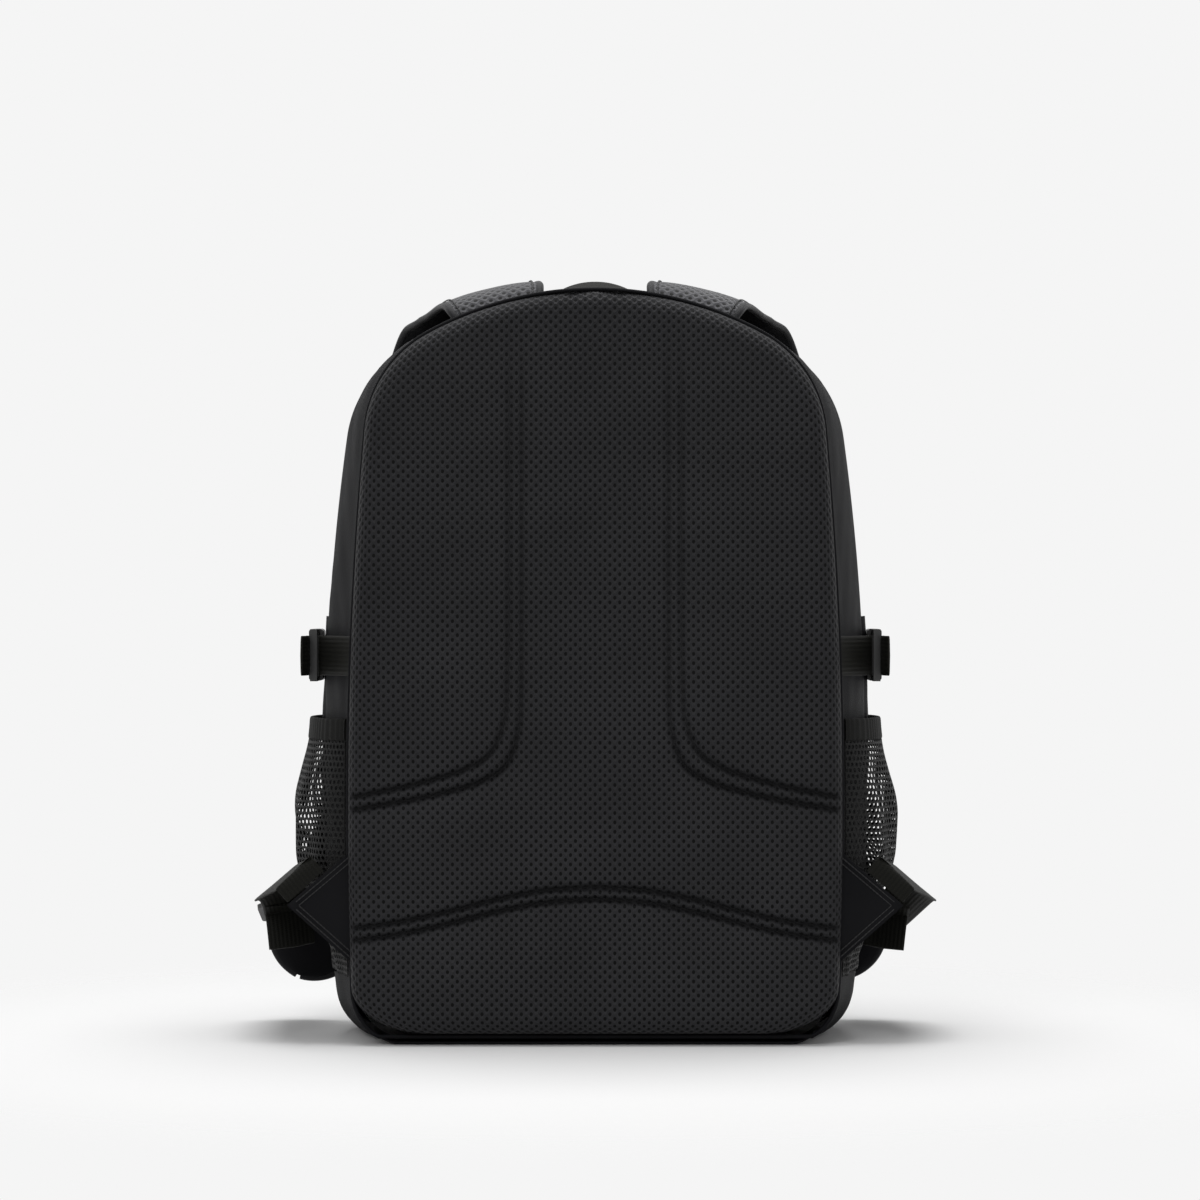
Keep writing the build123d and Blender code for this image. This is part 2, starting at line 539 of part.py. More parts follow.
def buckle_male():
    """Adjuster end: a frame the webbing turns round, a shoulder, two arms and a guide rib."""
    front = FEMALE_START_Y - SEAM_GAP
    rear = front - MALE_LENGTH
    slot_width = BUCKLE_WIDTH - 2 * MALE_RAIL
    plate = buckle_box(MALE_THICKNESS, rear, front, BUCKLE_WIDTH)
    plate -= buckle_box(2 * MALE_THICKNESS, rear + BAR_DEPTH, front - SHOULDER_DEPTH, slot_width)
    arm_z = BUCKLE_WIDTH / 2 - BUCKLE_WALL - MALE_FIT - ARM_WIDTH / 2
    for z in (arm_z, -arm_z):
        plate += buckle_box(MALE_THICKNESS, front - 1, front + ARM_LENGTH, ARM_WIDTH, z)
    return plate + buckle_box(MALE_THICKNESS, front - 1, front + ARM_LENGTH - 3, RIB_WIDTH)


def buckle_female():
    """Socket end: hollow body with release windows at its edges and a webbing bar."""
    y0 = FEMALE_START_Y
    y1 = y0 + FEMALE_BODY
    body = fillet(buckle_box(BUCKLE_THICKNESS, y0, y1, BUCKLE_WIDTH).edges().filter_by(Axis.Y), 2.0)
    channel = MALE_THICKNESS + 2 * MALE_FIT
    body -= buckle_box(channel, y0 - 1, y0 + ARM_LENGTH + 1, BUCKLE_WIDTH - 2 * BUCKLE_WALL)
    window = y0 + WINDOW_START
    body -= buckle_box(channel, window, window + WINDOW_LENGTH, 2 * BUCKLE_WIDTH)
    tail = buckle_box(MALE_THICKNESS, y1 - 1, y1 + FEMALE_TAIL, BUCKLE_WIDTH)
    slot_width = BUCKLE_WIDTH - 2 * MALE_RAIL
    return body + (tail - buckle_box(2 * MALE_THICKNESS, y1, y1 + FEMALE_TAIL - BAR_DEPTH, slot_width))


def build_compression():
    """Webbing from the back seam to the buckle, its folded tail, and webbing on to the front seam."""
    lift = MALE_THICKNESS / 2 + SEAM_GAP + COMP_THICKNESS / 2 + 0.3
    bar_y = FEMALE_START_Y - SEAM_GAP - MALE_LENGTH + BAR_DEPTH / 2
    x = BUCKLE_X
    half = COMP_THICKNESS / 2
    rear = [(HALF_WIDTH + SEAM_GAP + half, BACK_Y + SEAM_GAP + half), (x - lift - 2.3, bar_y - 0.5)]
    tail = [(x - lift, bar_y - 3), (x - lift, bar_y + 1.5), (x - 2.0, bar_y + 4.1), (x, bar_y + 4.8),
            (x + 2.2, bar_y + 4.0), (x + lift, bar_y + 1.2), (x + lift + 0.2, bar_y - 3),
            (x + lift + 1.0, bar_y - COMP_TAIL / 2), (x + lift + 2.2, bar_y - COMP_TAIL)]
    end_y = FEMALE_START_Y + FEMALE_BODY + FEMALE_TAIL - BAR_DEPTH / 2
    front = [(x + lift - 0.4, end_y + 9), (x + lift, end_y + 3), (x + lift, end_y - 1.2), (x + 2.0, end_y - 3.6),
             (x, end_y - 4.2), (x - 2.0, end_y - 3.6), (x - lift, end_y - 1.2), (x - lift, end_y + 3),
             (HALF_WIDTH + FRONT_BULGE + 2 * SEAM_GAP + half, FRONT_Y - half)]
    for side, name in SIDE_NAMES.items():
        shapes = {
            "comp_webbing_rear": webbing_path(rear),
            "comp_tail": webbing_path(tail),
            "comp_webbing_front": webbing_path(front),
            "buckle_male": buckle_male(),
            "buckle_female": buckle_female(),
        }
        for piece, shape in shapes.items():
            write(f"{piece}_{name}", shape if side > 0 else mirror(shape, Plane.YZ))


os.makedirs("parts", exist_ok=True)
build_shell()
build_back()
build_zip_sliders()
build_front_pocket()
build_mesh_pockets()
build_handle()
build_carrying_parts()
build_compression()
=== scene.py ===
import bpy
import bmesh
import numpy as np
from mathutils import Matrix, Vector


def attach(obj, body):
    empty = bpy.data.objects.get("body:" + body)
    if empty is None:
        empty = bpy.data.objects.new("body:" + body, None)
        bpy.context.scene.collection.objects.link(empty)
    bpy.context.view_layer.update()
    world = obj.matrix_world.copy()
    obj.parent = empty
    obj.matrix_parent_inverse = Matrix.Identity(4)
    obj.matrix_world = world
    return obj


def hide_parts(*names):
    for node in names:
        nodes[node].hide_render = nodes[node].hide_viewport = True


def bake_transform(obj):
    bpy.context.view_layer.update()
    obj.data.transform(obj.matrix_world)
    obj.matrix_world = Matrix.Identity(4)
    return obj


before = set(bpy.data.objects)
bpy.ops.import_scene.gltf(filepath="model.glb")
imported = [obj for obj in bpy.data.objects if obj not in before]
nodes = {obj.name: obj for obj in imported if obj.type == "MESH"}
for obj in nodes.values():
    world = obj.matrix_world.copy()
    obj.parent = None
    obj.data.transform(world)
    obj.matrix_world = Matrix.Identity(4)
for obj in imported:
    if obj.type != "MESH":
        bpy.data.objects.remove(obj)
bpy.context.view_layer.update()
MM = 0.001
SIDES = {"left": -1, "right": 1}

# ---- Studio -------------------------------------------------------------------------------
# A plain pale sweep under a broad overhead softbox, with a weaker one at the wearer's side.
# The floor thins out to nothing away from the bag, so it joins the background with no edge.

PALE = "F5F5F5"


def linear(hex_colour):
    """sRGB hex to linear RGBA: the standard two-part curve on each channel."""
    c = np.array([int(hex_colour[i:i + 2], 16) for i in (0, 2, 4)]) / 255
    c = np.where(c <= 0.04045, c / 12.92, ((c + 0.055) / 1.055) ** 2.4)
    return (*c.tolist(), 1.0)


def add(tree, kind, settings=None, **links):
    """Adds one node. Settings are properties or input values; links are inputs fed by other sockets."""
    node = tree.nodes.new("ShaderNode" + kind)
    for key, value in (settings or {}).items():
        if isinstance(key, str) and hasattr(node, key) and key not in node.inputs:
            setattr(node, key, value)
        else:
            node.inputs[key].default_value = value
    for key, socket in links.items():
        index = int(key[1:]) if key[1:].isdigit() else key.replace("_", " ")
        tree.links.new(socket, node.inputs[index])
    return node


def maths(tree, operation, first, second=None, third=None):
    """Adds a Math node's output: first and third are sockets, second a socket or a plain number."""
    node = add(tree, "Math", {"operation": operation}, _0=first)
    if isinstance(second, float):
        node.inputs[1].default_value = second
    elif second is not None:
        tree.links.new(second, node.inputs[1])
    if third is not None:
        tree.links.new(third, node.inputs[2])
    return node.outputs[0]


def new_material(name):
    """Empty node material; returns the material, its tree and its coordinates node."""
    material = bpy.data.materials.new(name)
    material.use_nodes = True
    material.node_tree.nodes.clear()
    return material, material.node_tree, add(material.node_tree, "TexCoord")


def principled(tree, settings, **links):
    """Adds the shader, with its constants and its linked inputs, and the output that it feeds."""
    shader = add(tree, "BsdfPrincipled", settings, **links)
    add(tree, "OutputMaterial", None, _0=shader.outputs[0])


def two_tone(tree, factor, colour, low, high):
    """A colour darkened or lightened by two shares, mixed by a factor."""
    base = np.array(linear(colour)[:3])
    mix = add(tree, "Mix", {"data_type": "RGBA", "clamp_factor": True}, _0=factor)
    mix.inputs[6].default_value = (*(base * low), 1)
    mix.inputs[7].default_value = (*(base * high), 1)
    return mix.outputs[2]


def unit(vectors):
    """Vectors scaled to length 1."""
    return vectors / np.linalg.norm(vectors, axis=-1, keepdims=True)


def running(line):
    """Running length at each sample of a line, from 0."""
    return np.concatenate([[0], np.cumsum(np.linalg.norm(np.diff(line, axis=0), axis=1))])


camera_data = bpy.data.cameras.new("camera")
camera_data.lens = 121.0
camera_data.sensor_width = 36.0
camera = bpy.data.objects.new("camera", camera_data)
camera.location = (0.003, -2.577, 0.277)
camera.rotation_euler = (np.pi / 2, 0, 0)
bpy.context.scene.collection.objects.link(camera)
bpy.context.scene.camera = camera
bpy.context.scene.view_settings.view_transform = "Standard"

world = bpy.data.worlds.new("studio")
bpy.context.scene.world = world
world.use_nodes = True
sky = world.node_tree
sky.nodes.clear()
rays = add(sky, "LightPath")
direct = maths(sky, "MAXIMUM", rays.outputs["Is Camera Ray"], rays.outputs["Is Transmission Ray"])
seen = maths(sky, "MAXIMUM", direct, rays.outputs["Is Glossy Ray"])
lit = add(sky, "Background", {"Color": linear("FFFFFF"), "Strength": 0.42})
shown = add(sky, "Background", {"Color": linear(PALE), "Strength": 1.0})
sky_mix = add(sky, "MixShader", None, _0=seen, _1=lit.outputs[0], _2=shown.outputs[0])
add(sky, "OutputWorld", None, _0=sky_mix.outputs[0])


def softbox(name, place, size, power, aim):
    """Square area lamp turned to face a point."""
    data = bpy.data.lights.new(name, "AREA")
    data.size = size
    data.energy = power
    lamp = bpy.data.objects.new(name, data)
    lamp.location = place
    lamp.rotation_euler = (Vector(aim) - Vector(place)).to_track_quat("-Z", "Y").to_euler()
    bpy.context.scene.collection.objects.link(lamp)


softbox("overhead_softbox", (0.0, 0.1, 1.9), 1.3, 25.0, (0, 0, 0.2))
softbox("wearer_side_softbox", (-0.8, -2.0, 1.5), 1.0, 9.0, (0, 0, 0.2))

floor_mesh = bpy.data.meshes.new("floor")
floor_mesh.from_pydata([(-3, -3, 0), (3, -3, 0), (3, 3, 0), (-3, 3, 0)], [], [(0, 1, 2, 3)])
floor = bpy.data.objects.new("floor", floor_mesh)
bpy.context.scene.collection.objects.link(floor)
floor_paint, tree, place = new_material("matt_white_paint")
floor_radius = add(tree, "VectorMath", {"operation": "LENGTH"}, _0=place.outputs["Object"])
fade = add(tree, "MapRange", {"interpolation_type": "SMOOTHSTEP", "From Min": 0.28, "From Max": 0.62},
           Value=floor_radius.outputs["Value"])
floor_diffuse = add(tree, "BsdfDiffuse", {"Color": linear("F7F7F7")})
floor_clear = add(tree, "BsdfTransparent")
floor_mix = add(tree, "MixShader", None, _0=fade.outputs[0], _1=floor_diffuse.outputs[0],
                _2=floor_clear.outputs[0])
add(tree, "OutputMaterial", None, _0=floor_mix.outputs[0])
floor_mesh.materials.append(floor_paint)

# ---- Bag body: pack cloth gussets, base tray and front panel ------------------------------
# Coated nylon pack cloth with a thin foam backing, cut as strips and sewn edge to edge.
# The strips follow four outlines from the back seam to the front seam and swell between them.

BACK_Y, ZIP_REAR_Y, ZIP_FRONT_Y, FRONT_Y = -65 * MM, 0.0, 26 * MM, 65 * MM
CROWN = 469 * MM
TRAY_TOP = 42 * MM
ZIP_END = 266 * MM
WIDEST_Z = 200 * MM
BAG_MIDDLE = 0.22
FLOOR_CLEARANCE = 0.0004
NYLON = "161618"


def arc_through(p, q, r):
    """Centre and radius of the circle through three points: where two perpendicular bisectors meet."""
    a, b, c = (np.array(point, float) for point in (p, q, r))
    lines = 2 * np.array([b - a, c - a])
    centre = np.linalg.solve(lines, [b @ b - a @ a, c @ c - a @ a])
    return centre, np.linalg.norm(a - centre)


def half_outline(widest, low_inset, knee_inset, knee_drop, crown, low_radius=0.036, high_radius=0.075):
    """Right half of a bag outline from crown to base centre: top arc, shoulder round, bowed side,
    corner round and flat base, each round tangent to its neighbours; returned at equal arc steps."""
    low = np.array([widest - low_inset, 0.0])
    knee = np.array([widest - knee_inset, crown - knee_drop])
    top_radius = (knee[0] ** 2 + knee_drop ** 2) / (2 * knee_drop)
    top_centre = np.array([0.0, crown - top_radius])
    side_centre, side_radius = arc_through(low, (widest, WIDEST_Z), knee)
    a, b = top_radius - high_radius, side_radius - high_radius
    gap = top_centre - side_centre
    length = np.linalg.norm(gap)
    along = (b * b - a * a + length * length) / (2 * length)
    unit = gap / length
    across = np.array([-unit[1], unit[0]]) * np.sqrt(b * b - along * along)
    choices = [side_centre + unit * along + across, side_centre + unit * along - across]
    round_centre = max(choices, key=lambda point: point[1])
    corner = np.array([side_centre[0] + np.sqrt((side_radius - low_radius) ** 2
                                                - (low_radius - side_centre[1]) ** 2), low_radius])

    def arc(centre, radius, start, end):
        a0, a1 = (np.arctan2(p[1], p[0]) for p in (start, end))
        t = np.linspace(a0, a1, 80)
        return centre + radius * np.stack([np.cos(t), np.sin(t)], 1)

    points = np.concatenate([
        arc(top_centre, top_radius, (0, 1), round_centre - top_centre),
        arc(round_centre, high_radius, round_centre - top_centre, round_centre - side_centre),
        arc(side_centre, side_radius, round_centre - side_centre, corner - side_centre),
        arc(corner, low_radius, corner - side_centre, (0, -1)),
        [(0.0, 0.0)]])
    steps = running(points)
    share = np.linspace(0, steps[-1], 700)
    return np.stack([np.interp(share, steps, points[:, i]) for i in (0, 1)], 1)


OUTLINES = {
    "back": half_outline(0.152, 0.003, 0.013, 0.051, CROWN),
    "zip": half_outline(0.172, 0.012, 0.019, 0.046, 0.464),
    "front": half_outline(0.158, 0.008, 0.018, 0.048, 0.450),
}
STACK = np.stack([OUTLINES[name] for name in ("back", "zip", "zip", "front")])
STACK_Y = np.array([BACK_Y, ZIP_REAR_Y, ZIP_FRONT_Y, FRONT_Y])


def on_bag(turn, y, proud=0.0):
    """Point on the bag's skin: turn runs 0 at the crown to +-1 at the base centre, +X positive.
    Outlines are blended straight between their depths, then averaged over 10 mm so no crease shows."""
    turn, y = np.broadcast_arrays(np.asarray(turn, float), np.asarray(y, float))
    wrapped = (turn + 1) % 2 - 1
    place = np.abs(wrapped) * (STACK.shape[1] - 1)
    index = np.clip(place.astype(int), 0, STACK.shape[1] - 2)
    part = (place - index)[..., None]
    rows = STACK[:, index] * (1 - part) + STACK[:, index + 1] * part
    total = 0
    for shift in (-0.010, -0.005, 0, 0.005, 0.010):
        depth = np.clip(y + shift, BACK_Y, FRONT_Y)
        share = np.interp(depth, STACK_Y, np.arange(4.0))
        low = np.clip(share.astype(int), 0, 2)
        mix = (share - low)[..., None]
        picked = np.take_along_axis(rows, low[None, ..., None], 0)[0] * (1 - mix)
        total = total + picked + np.take_along_axis(rows, low[None, ..., None] + 1, 0)[0] * mix
    flat = total / 5
    outward = unit(np.stack([flat[..., 0], flat[..., 1] - BAG_MIDDLE], -1))
    flat = flat + outward * np.asarray(proud)[..., None]
    height = np.maximum(flat[..., 1], FLOOR_CLEARANCE)
    return np.stack([np.sign(wrapped) * np.abs(flat[..., 0]), y, height], -1)


def turn_at(outline, height):
    """Turn at which an outline's side passes a height, below the shoulder."""
    z = OUTLINES[outline][:, 1]
    return float(np.interp(-height, -z, np.linspace(0, 1, len(z))))


def ripple(points, seed, size, height):
    """Cloth unevenness: five crossed sine waves of random direction, length about size, summed."""
    rng = np.random.default_rng(seed)
    total = 0
    for _ in range(5):
        direction = unit(rng.normal(size=3))
        length = size * rng.uniform(0.6, 1.6)
        total = total + np.sin(points @ direction * 2 * np.pi / length + rng.uniform(0, 6.3))
    return total / 5 * height


def weld_points(piece, close=False):
    """Joins points that meet; on request closes each open rim with one flat face and turns all faces out."""
    shape = bmesh.new()
    shape.from_mesh(piece.data)
    bmesh.ops.remove_doubles(shape, verts=shape.verts, dist=2e-6)
    if close:
        bmesh.ops.holes_fill(shape, edges=[edge for edge in shape.edges if edge.is_boundary], sides=0)
        bmesh.ops.recalc_face_normals(shape, faces=shape.faces)
    shape.to_mesh(piece.data)
    shape.free()


def surface(name, points, uv=None, closed=(False, False), flip=False, weld=False):
    """Quad mesh over a grid of points, with its own UV map in metres; closed ways join end to start."""
    rows, columns = points.shape[:2]
    first = np.stack(np.indices((rows - (not closed[0]), columns - (not closed[1]))), -1).reshape(-1, 1, 2)
    corners = first + np.array([(0, 0), (1, 0), (1, 1), (0, 1)])
    faces = corners[..., 0] % rows * columns + corners[..., 1] % columns
    if flip:
        faces, corners = faces[:, ::-1], corners[:, ::-1]
    mesh = bpy.data.meshes.new(name)
    mesh.vertices.add(rows * columns)
    mesh.vertices.foreach_set("co", points.reshape(-1).astype(np.float32))
    mesh.loops.add(faces.size)
    mesh.loops.foreach_set("vertex_index", faces.reshape(-1).astype(np.int32))
    mesh.polygons.add(len(faces))
    mesh.polygons.foreach_set("loop_start", np.arange(0, faces.size, 4, dtype=np.int32))
    mesh.update(calc_edges=True)
    if uv is not None:
        layer = mesh.uv_layers.new(name="cloth")
        layer.data.foreach_set("uv", uv[corners[..., 0], corners[..., 1]].reshape(-1).astype(np.float32))
    mesh.validate()
    mesh.shade_smooth()
    piece = bpy.data.objects.new(name, mesh)
    bpy.context.scene.collection.objects.link(piece)
    if weld:
        weld_points(piece)
    return piece


def thicken(piece, depth, offset=-1.0):
    """Gives a sheet its real thickness, inwards unless told otherwise."""
    wall = piece.modifiers.new("thickness", "SOLIDIFY")
    wall.thickness = depth
    wall.offset = offset
    return piece


def settle(piece, material, body, slot, *replaced, under=None):
    """Finishes a piece: its material, the material of its under half (a strap's faces there have the
    second slot), the body that it rides on and the nodes that it stands for. The slot argument is not
    used. A body given as (name, from_y, to_y) is not attached: the piece's place is baked into its
    mesh, and the name and depths are not used."""
    piece.data.materials.append(material)
    piece.data.materials.append(under or material)
    if isinstance(body, tuple):
        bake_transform(piece)
    else:
        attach(piece, body)
    if replaced:
        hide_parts(*replaced)
    return piece


def cloth_uv(points, closed=False):
    """UV in metres measured along the grid: running length down the rows and across the columns."""
    points = np.concatenate([points, points[:1]]) if closed else points
    down = np.linalg.norm(np.diff(points, axis=0), axis=2).mean(1)
    across = np.linalg.norm(np.diff(points, axis=1), axis=2).mean(0)
    u = np.concatenate([[0], np.cumsum(down)])
    v = np.concatenate([[0], np.cumsum(across)])
    return np.stack(np.broadcast_arrays(u[:, None], v[None, :]), -1)


def sewn(piece):
    """Returns the piece unchanged."""
    return piece


def woven(name, colour, thread_mm, roughness, sheen, relief=0.25, patch=0.3, specular=0.1):
    """Plain weave: the product of two crossed sines, one wave a thread, with soft tone patches."""
    material, tree, place = new_material(name)
    split = add(tree, "SeparateXYZ", None, _0=place.outputs["UV"])
    rate = 2 * np.pi / (thread_mm * MM)
    warp, weft = (maths(tree, "SINE", maths(tree, "MULTIPLY", split.outputs[way], rate)) for way in (0, 1))
    weave = maths(tree, "MULTIPLY", warp, weft)
    patches = add(tree, "TexNoise", {"Scale": 28.0, "Detail": 4.0}, Vector=place.outputs["Object"])
    tone = two_tone(tree, maths(tree, "MULTIPLY_ADD", weave, 0.16, patches.outputs["Fac"]), colour,
                    1 - patch, 1 + patch)
    bump = add(tree, "Bump", {"Strength": relief, "Distance": 0.0004}, Height=weave)
    principled(tree, {"Roughness": roughness, "Sheen Weight": sheen, "Sheen Roughness": 0.45,
                      "Specular IOR Level": specular}, Base_Color=tone, Normal=bump.outputs[0])
    return material


# Coated pack cloth: its real threads lie about 0.4 mm apart and are drawn 0.9 mm apart, so that they
# show; matt, with hardly any gloss.
pack_cloth = woven("coated_nylon_pack_cloth", NYLON, 0.9, 0.6, 0.0, specular=0.05)


def gusset(name, turns, depths, seed, replaced=()):
    """Strip of the bag's skin between two turns and two depths, swelling between its seams."""
    turn = np.linspace(*turns, 420)[:, None]
    depth = np.linspace(*depths, 40)[None, :]
    across = (depth - depths[0]) / (depths[1] - depths[0])
    base = on_bag(turn, depth)
    edge = 1 - np.exp(-np.minimum(across, 1 - across) * 14)
    swell = 0.0022 * np.sin(np.pi * across) ** 0.7
    folds = ripple(base, seed, 0.07, 0.0013) + ripple(base, seed + 1, 0.025, 0.0005)
    points = on_bag(turn, depth, (swell + folds) * edge + 0.0010)
    piece = surface(name, points, cloth_uv(points))
    thicken(piece, 0.0014)
    settle(piece, pack_cloth, "bag", "nylon", *replaced)
    return sewn(piece)


low_turn = turn_at("zip", TRAY_TOP)
zip_turn = turn_at("zip", ZIP_END)
gusset("rear_gusset_cloth", (-low_turn, low_turn), (BACK_Y, ZIP_REAR_Y), 3, ["rear_gusset"])
gusset("front_gusset_cloth", (-low_turn, low_turn), (ZIP_FRONT_Y, FRONT_Y), 7, ["front_gusset"])
gusset("right_gusset_join", (zip_turn, low_turn), (ZIP_REAR_Y, ZIP_FRONT_Y), 11)
gusset("left_gusset_join", (-low_turn, -zip_turn), (ZIP_REAR_Y, ZIP_FRONT_Y), 13)
gusset("base_tray_cloth", (low_turn, 2 - low_turn), (BACK_Y, FRONT_Y), 15, ["base_tray"])

# ---- Back pad -----------------------------------------------------------------------------
# Moulded foam under perforated spacer mesh, pressed with double channels and rolled over at its
# edge into the back seam. The channels are pairs 8 mm apart: two upright, one lumbar arc.

PAD_BASE = 7 * MM
PAD_DEPTH = 12 * MM
PAD_ROLL = 13 * MM
PAD_STAND = 0.88 * PAD_DEPTH
CORNER_ROUND = 30 * MM
CHANNEL_DEPTH = 3.4 * MM
CHANNEL_WIDTH = 2.1 * MM
# The upright pairs are pressed firmly at their lower curve and fade towards the crown; the painted groove
# shade follows the same shares.
CHANNEL_LEVELS, CHANNEL_SHARES = (0.165, 0.205, 0.400, 0.455), (1.0, 0.5, 0.35, 0.0)
UPRIGHT_INNER = ((45, 460), (45.5, 380), (45.5, 300), (46, 215), (49, 190), (56, 174), (71, 164.5),
                 (88, 159), (112, 153.5), (149, 147))
UPRIGHT_OUTER = ((53, 458), (53.5, 380), (53.5, 300), (54.5, 220), (58, 196), (66, 181), (80, 172.5),
                 (96, 167), (117, 161.5), (149, 155))
LUMBAR = ((0, 99), (30, 97), (60, 91.5), (90, 84), (120, 77.5), (149, 73.5))
LUMBAR_GAP = 7.6
# Hole colour: near black, the black yarn below with painted shade inside the holes.
HOLE_SHADE_BLACK = (0.0006, 0.0006, 0.0006, 1)


def smooth_line(points, count):
    """Catmull-Rom curve: each span is a cubic whose end slopes are half its neighbours' chord."""
    p = np.array(points, float)
    p = np.concatenate([[2 * p[0] - p[1]], p, [2 * p[-1] - p[-2]]])
    share = np.linspace(0, len(p) - 3, count)
    i = np.minimum(share.astype(int), len(p) - 4)
    t = (share - i)[:, None]
    a, b, c, d = p[i], p[i + 1], p[i + 2], p[i + 3]
    square, cube = 2 * a - 5 * b + 4 * c - d, 3 * b - a - 3 * c + d
    return 0.5 * (2 * b + (c - a) * t + square * t ** 2 + cube * t ** 3)


def distance_to(points, line):
    """Shortest distance from each point to a line's samples, in blocks to spare memory."""
    flat = points.reshape(-1, 2)
    out = np.concatenate([np.sqrt(((block[:, None] - line[None]) ** 2).sum(2)).min(1)
                          for block in np.array_split(flat, max(1, len(flat) // 3000))])
    return out.reshape(points.shape[:-1])


def panel_grid(outline, base, rows, columns, grow=0.0):
    """Grid filling an outline above a base height: rows closer together near the crown and the base."""
    x, z = outline[:, 0] + grow, outline[:, 1]
    t = (1 - np.cos(np.linspace(0, np.pi, rows))) / 2
    t = 0.35 * t + 0.65 * np.linspace(0, 1, rows)
    level = base + (z.max() - base) * t
    half = np.interp(level, z[::-1], x[::-1])
    half = np.where(level > z.max() - 1e-7, 0.0, half)
    corner = np.clip((level - base) / CORNER_ROUND, 0, 1)
    half = half - CORNER_ROUND * (1 - np.sqrt(1 - (1 - corner) ** 2))
    across = np.sin(np.linspace(-1, 1, columns) * np.pi / 2 * 0.86) / np.sin(np.pi / 2 * 0.86)
    return np.stack([half[:, None] * across[None], np.broadcast_to(level[:, None], (rows, columns))], -1)


def rim_of(grid):
    """Closed edge of a grid, four samples for each step, so that distances to it are smooth."""
    loop = np.concatenate([grid[:, -1], grid[::-1, 0], grid[0]])
    steps = np.arange(len(loop))
    fine = np.linspace(0, len(loop) - 1, len(loop) * 4)
    return np.stack([np.interp(fine, steps, loop[:, i]) for i in (0, 1)], 1)


def channel_lines():
    """All moulded channels, left and right, as samples in the pad's plane."""
    lines = []
    lumbar = smooth_line(LUMBAR, 160)
    for sign in (-1, 1):
        for points in (UPRIGHT_INNER, UPRIGHT_OUTER):
            lines.append(smooth_line(points, 420) * (sign, 1))
        lines.append(lumbar * (sign, 1))
        lines.append((lumbar - (0, LUMBAR_GAP)) * (sign, 1))
    return np.concatenate(lines) * MM


def spacer_mesh(name, colour, sheen, pitch_mm=(6.1, 5.8), hole_mm=(2.0, 2.5)):
    """Polyester knit over foam, matt, with oval holes on a diamond lattice at their real spacing:
    6.1 mm apart in a row, rows 2.9 mm apart and offset by half. The holes are painted near black:
    the black yarn below, with painted shade inside them. Painted shade darkens the cloth along the
    pressed channels."""
    material, tree, place = new_material(name)
    scale = (1 / (pitch_mm[0] * MM), 1 / (pitch_mm[1] * MM), 0)
    stretch = (2 * pitch_mm[0] / hole_mm[0], 2 * pitch_mm[1] / hole_mm[1], 0)
    cell = add(tree, "VectorMath", {"operation": "MULTIPLY", 1: scale}, _0=place.outputs["UV"])
    nearest = []
    for offset in (0.0, 0.5):
        moved = add(tree, "VectorMath", {"operation": "ADD", 1: (offset, offset, 0)}, _0=cell.outputs[0])
        inside = add(tree, "VectorMath", {"operation": "FRACTION"}, _0=moved.outputs[0])
        centred = add(tree, "VectorMath", {"operation": "SUBTRACT", 1: (0.5, 0.5, 0)}, _0=inside.outputs[0])
        sized = add(tree, "VectorMath", {"operation": "MULTIPLY", 1: stretch}, _0=centred.outputs[0])
        nearest.append(add(tree, "VectorMath", {"operation": "LENGTH"}, _0=sized.outputs[0]).outputs["Value"])
    reach = maths(tree, "MINIMUM", *nearest)
    solid, dome = (add(tree, "MapRange", {"interpolation_type": "SMOOTHSTEP", "From Min": 0.8,
                                          "From Max": far}, Value=reach) for far in (1.2, 3.0))
    knit = add(tree, "TexNoise", {"Scale": 900.0, "Detail": 2.0}, Vector=place.outputs["Object"])
    height = maths(tree, "MULTIPLY_ADD", knit.outputs["Fac"], 0.12, dome.outputs[0])
    patches = add(tree, "TexNoise", {"Scale": 16.0, "Detail": 3.0}, Vector=place.outputs["Object"])
    tone = two_tone(tree, patches.outputs["Fac"], colour, 0.7, 1.3)
    cloth = add(tree, "Mix", {"data_type": "RGBA", 6: HOLE_SHADE_BLACK}, _0=solid.outputs[0], _7=tone)
    # Painted shade: the "pressed" attribute darkens the cloth towards 12% of its colour along the channels,
    # where the grooves' shade falls.
    pressed = add(tree, "Attribute", {"attribute_name": "pressed"})
    shaded = add(tree, "Mix", {"data_type": "RGBA"}, _0=pressed.outputs["Fac"], _6=cloth.outputs[2])
    shaded.inputs[7].default_value = (*(np.array(linear(colour)[:3]) * 0.12), 1)
    bump = add(tree, "Bump", {"Strength": 0.8, "Distance": 0.0011}, Height=height)
    principled(tree, {"Roughness": 0.62, "Sheen Weight": sheen, "Sheen Roughness": 0.4,
                      "Specular IOR Level": 0.1}, Base_Color=shaded.outputs[2], Normal=bump.outputs[0])
    return material


pad_mesh = spacer_mesh("black_polyester_spacer_mesh", "2C2C2E", 0.04)
plan = panel_grid(OUTLINES["back"], PAD_BASE, 440, 290, grow=1.3 * MM)
inward = distance_to(plan, rim_of(plan))
roll = np.clip(1 - inward / PAD_ROLL, 0, 1)
profile = (1 - roll ** 2.4) ** (1 / 2.4)
channels = distance_to(plan, channel_lines())
firmness = np.interp(plan[..., 1], CHANNEL_LEVELS, CHANNEL_SHARES)
pressed = CHANNEL_DEPTH * firmness * np.exp(-(channels / CHANNEL_WIDTH) ** 2) * profile
quilting = 0.0026 * (1 - firmness * np.exp(-channels / 0.011)) * profile
flat = np.stack([plan[..., 0], np.zeros_like(inward), plan[..., 1]], -1)
puckers = ripple(flat, 21, 0.05, 0.0005) * profile
stand = PAD_STAND * profile + quilting - pressed + puckers
front_skin = flat + np.stack([np.zeros_like(stand), BACK_Y - stand, np.zeros_like(stand)], -1)
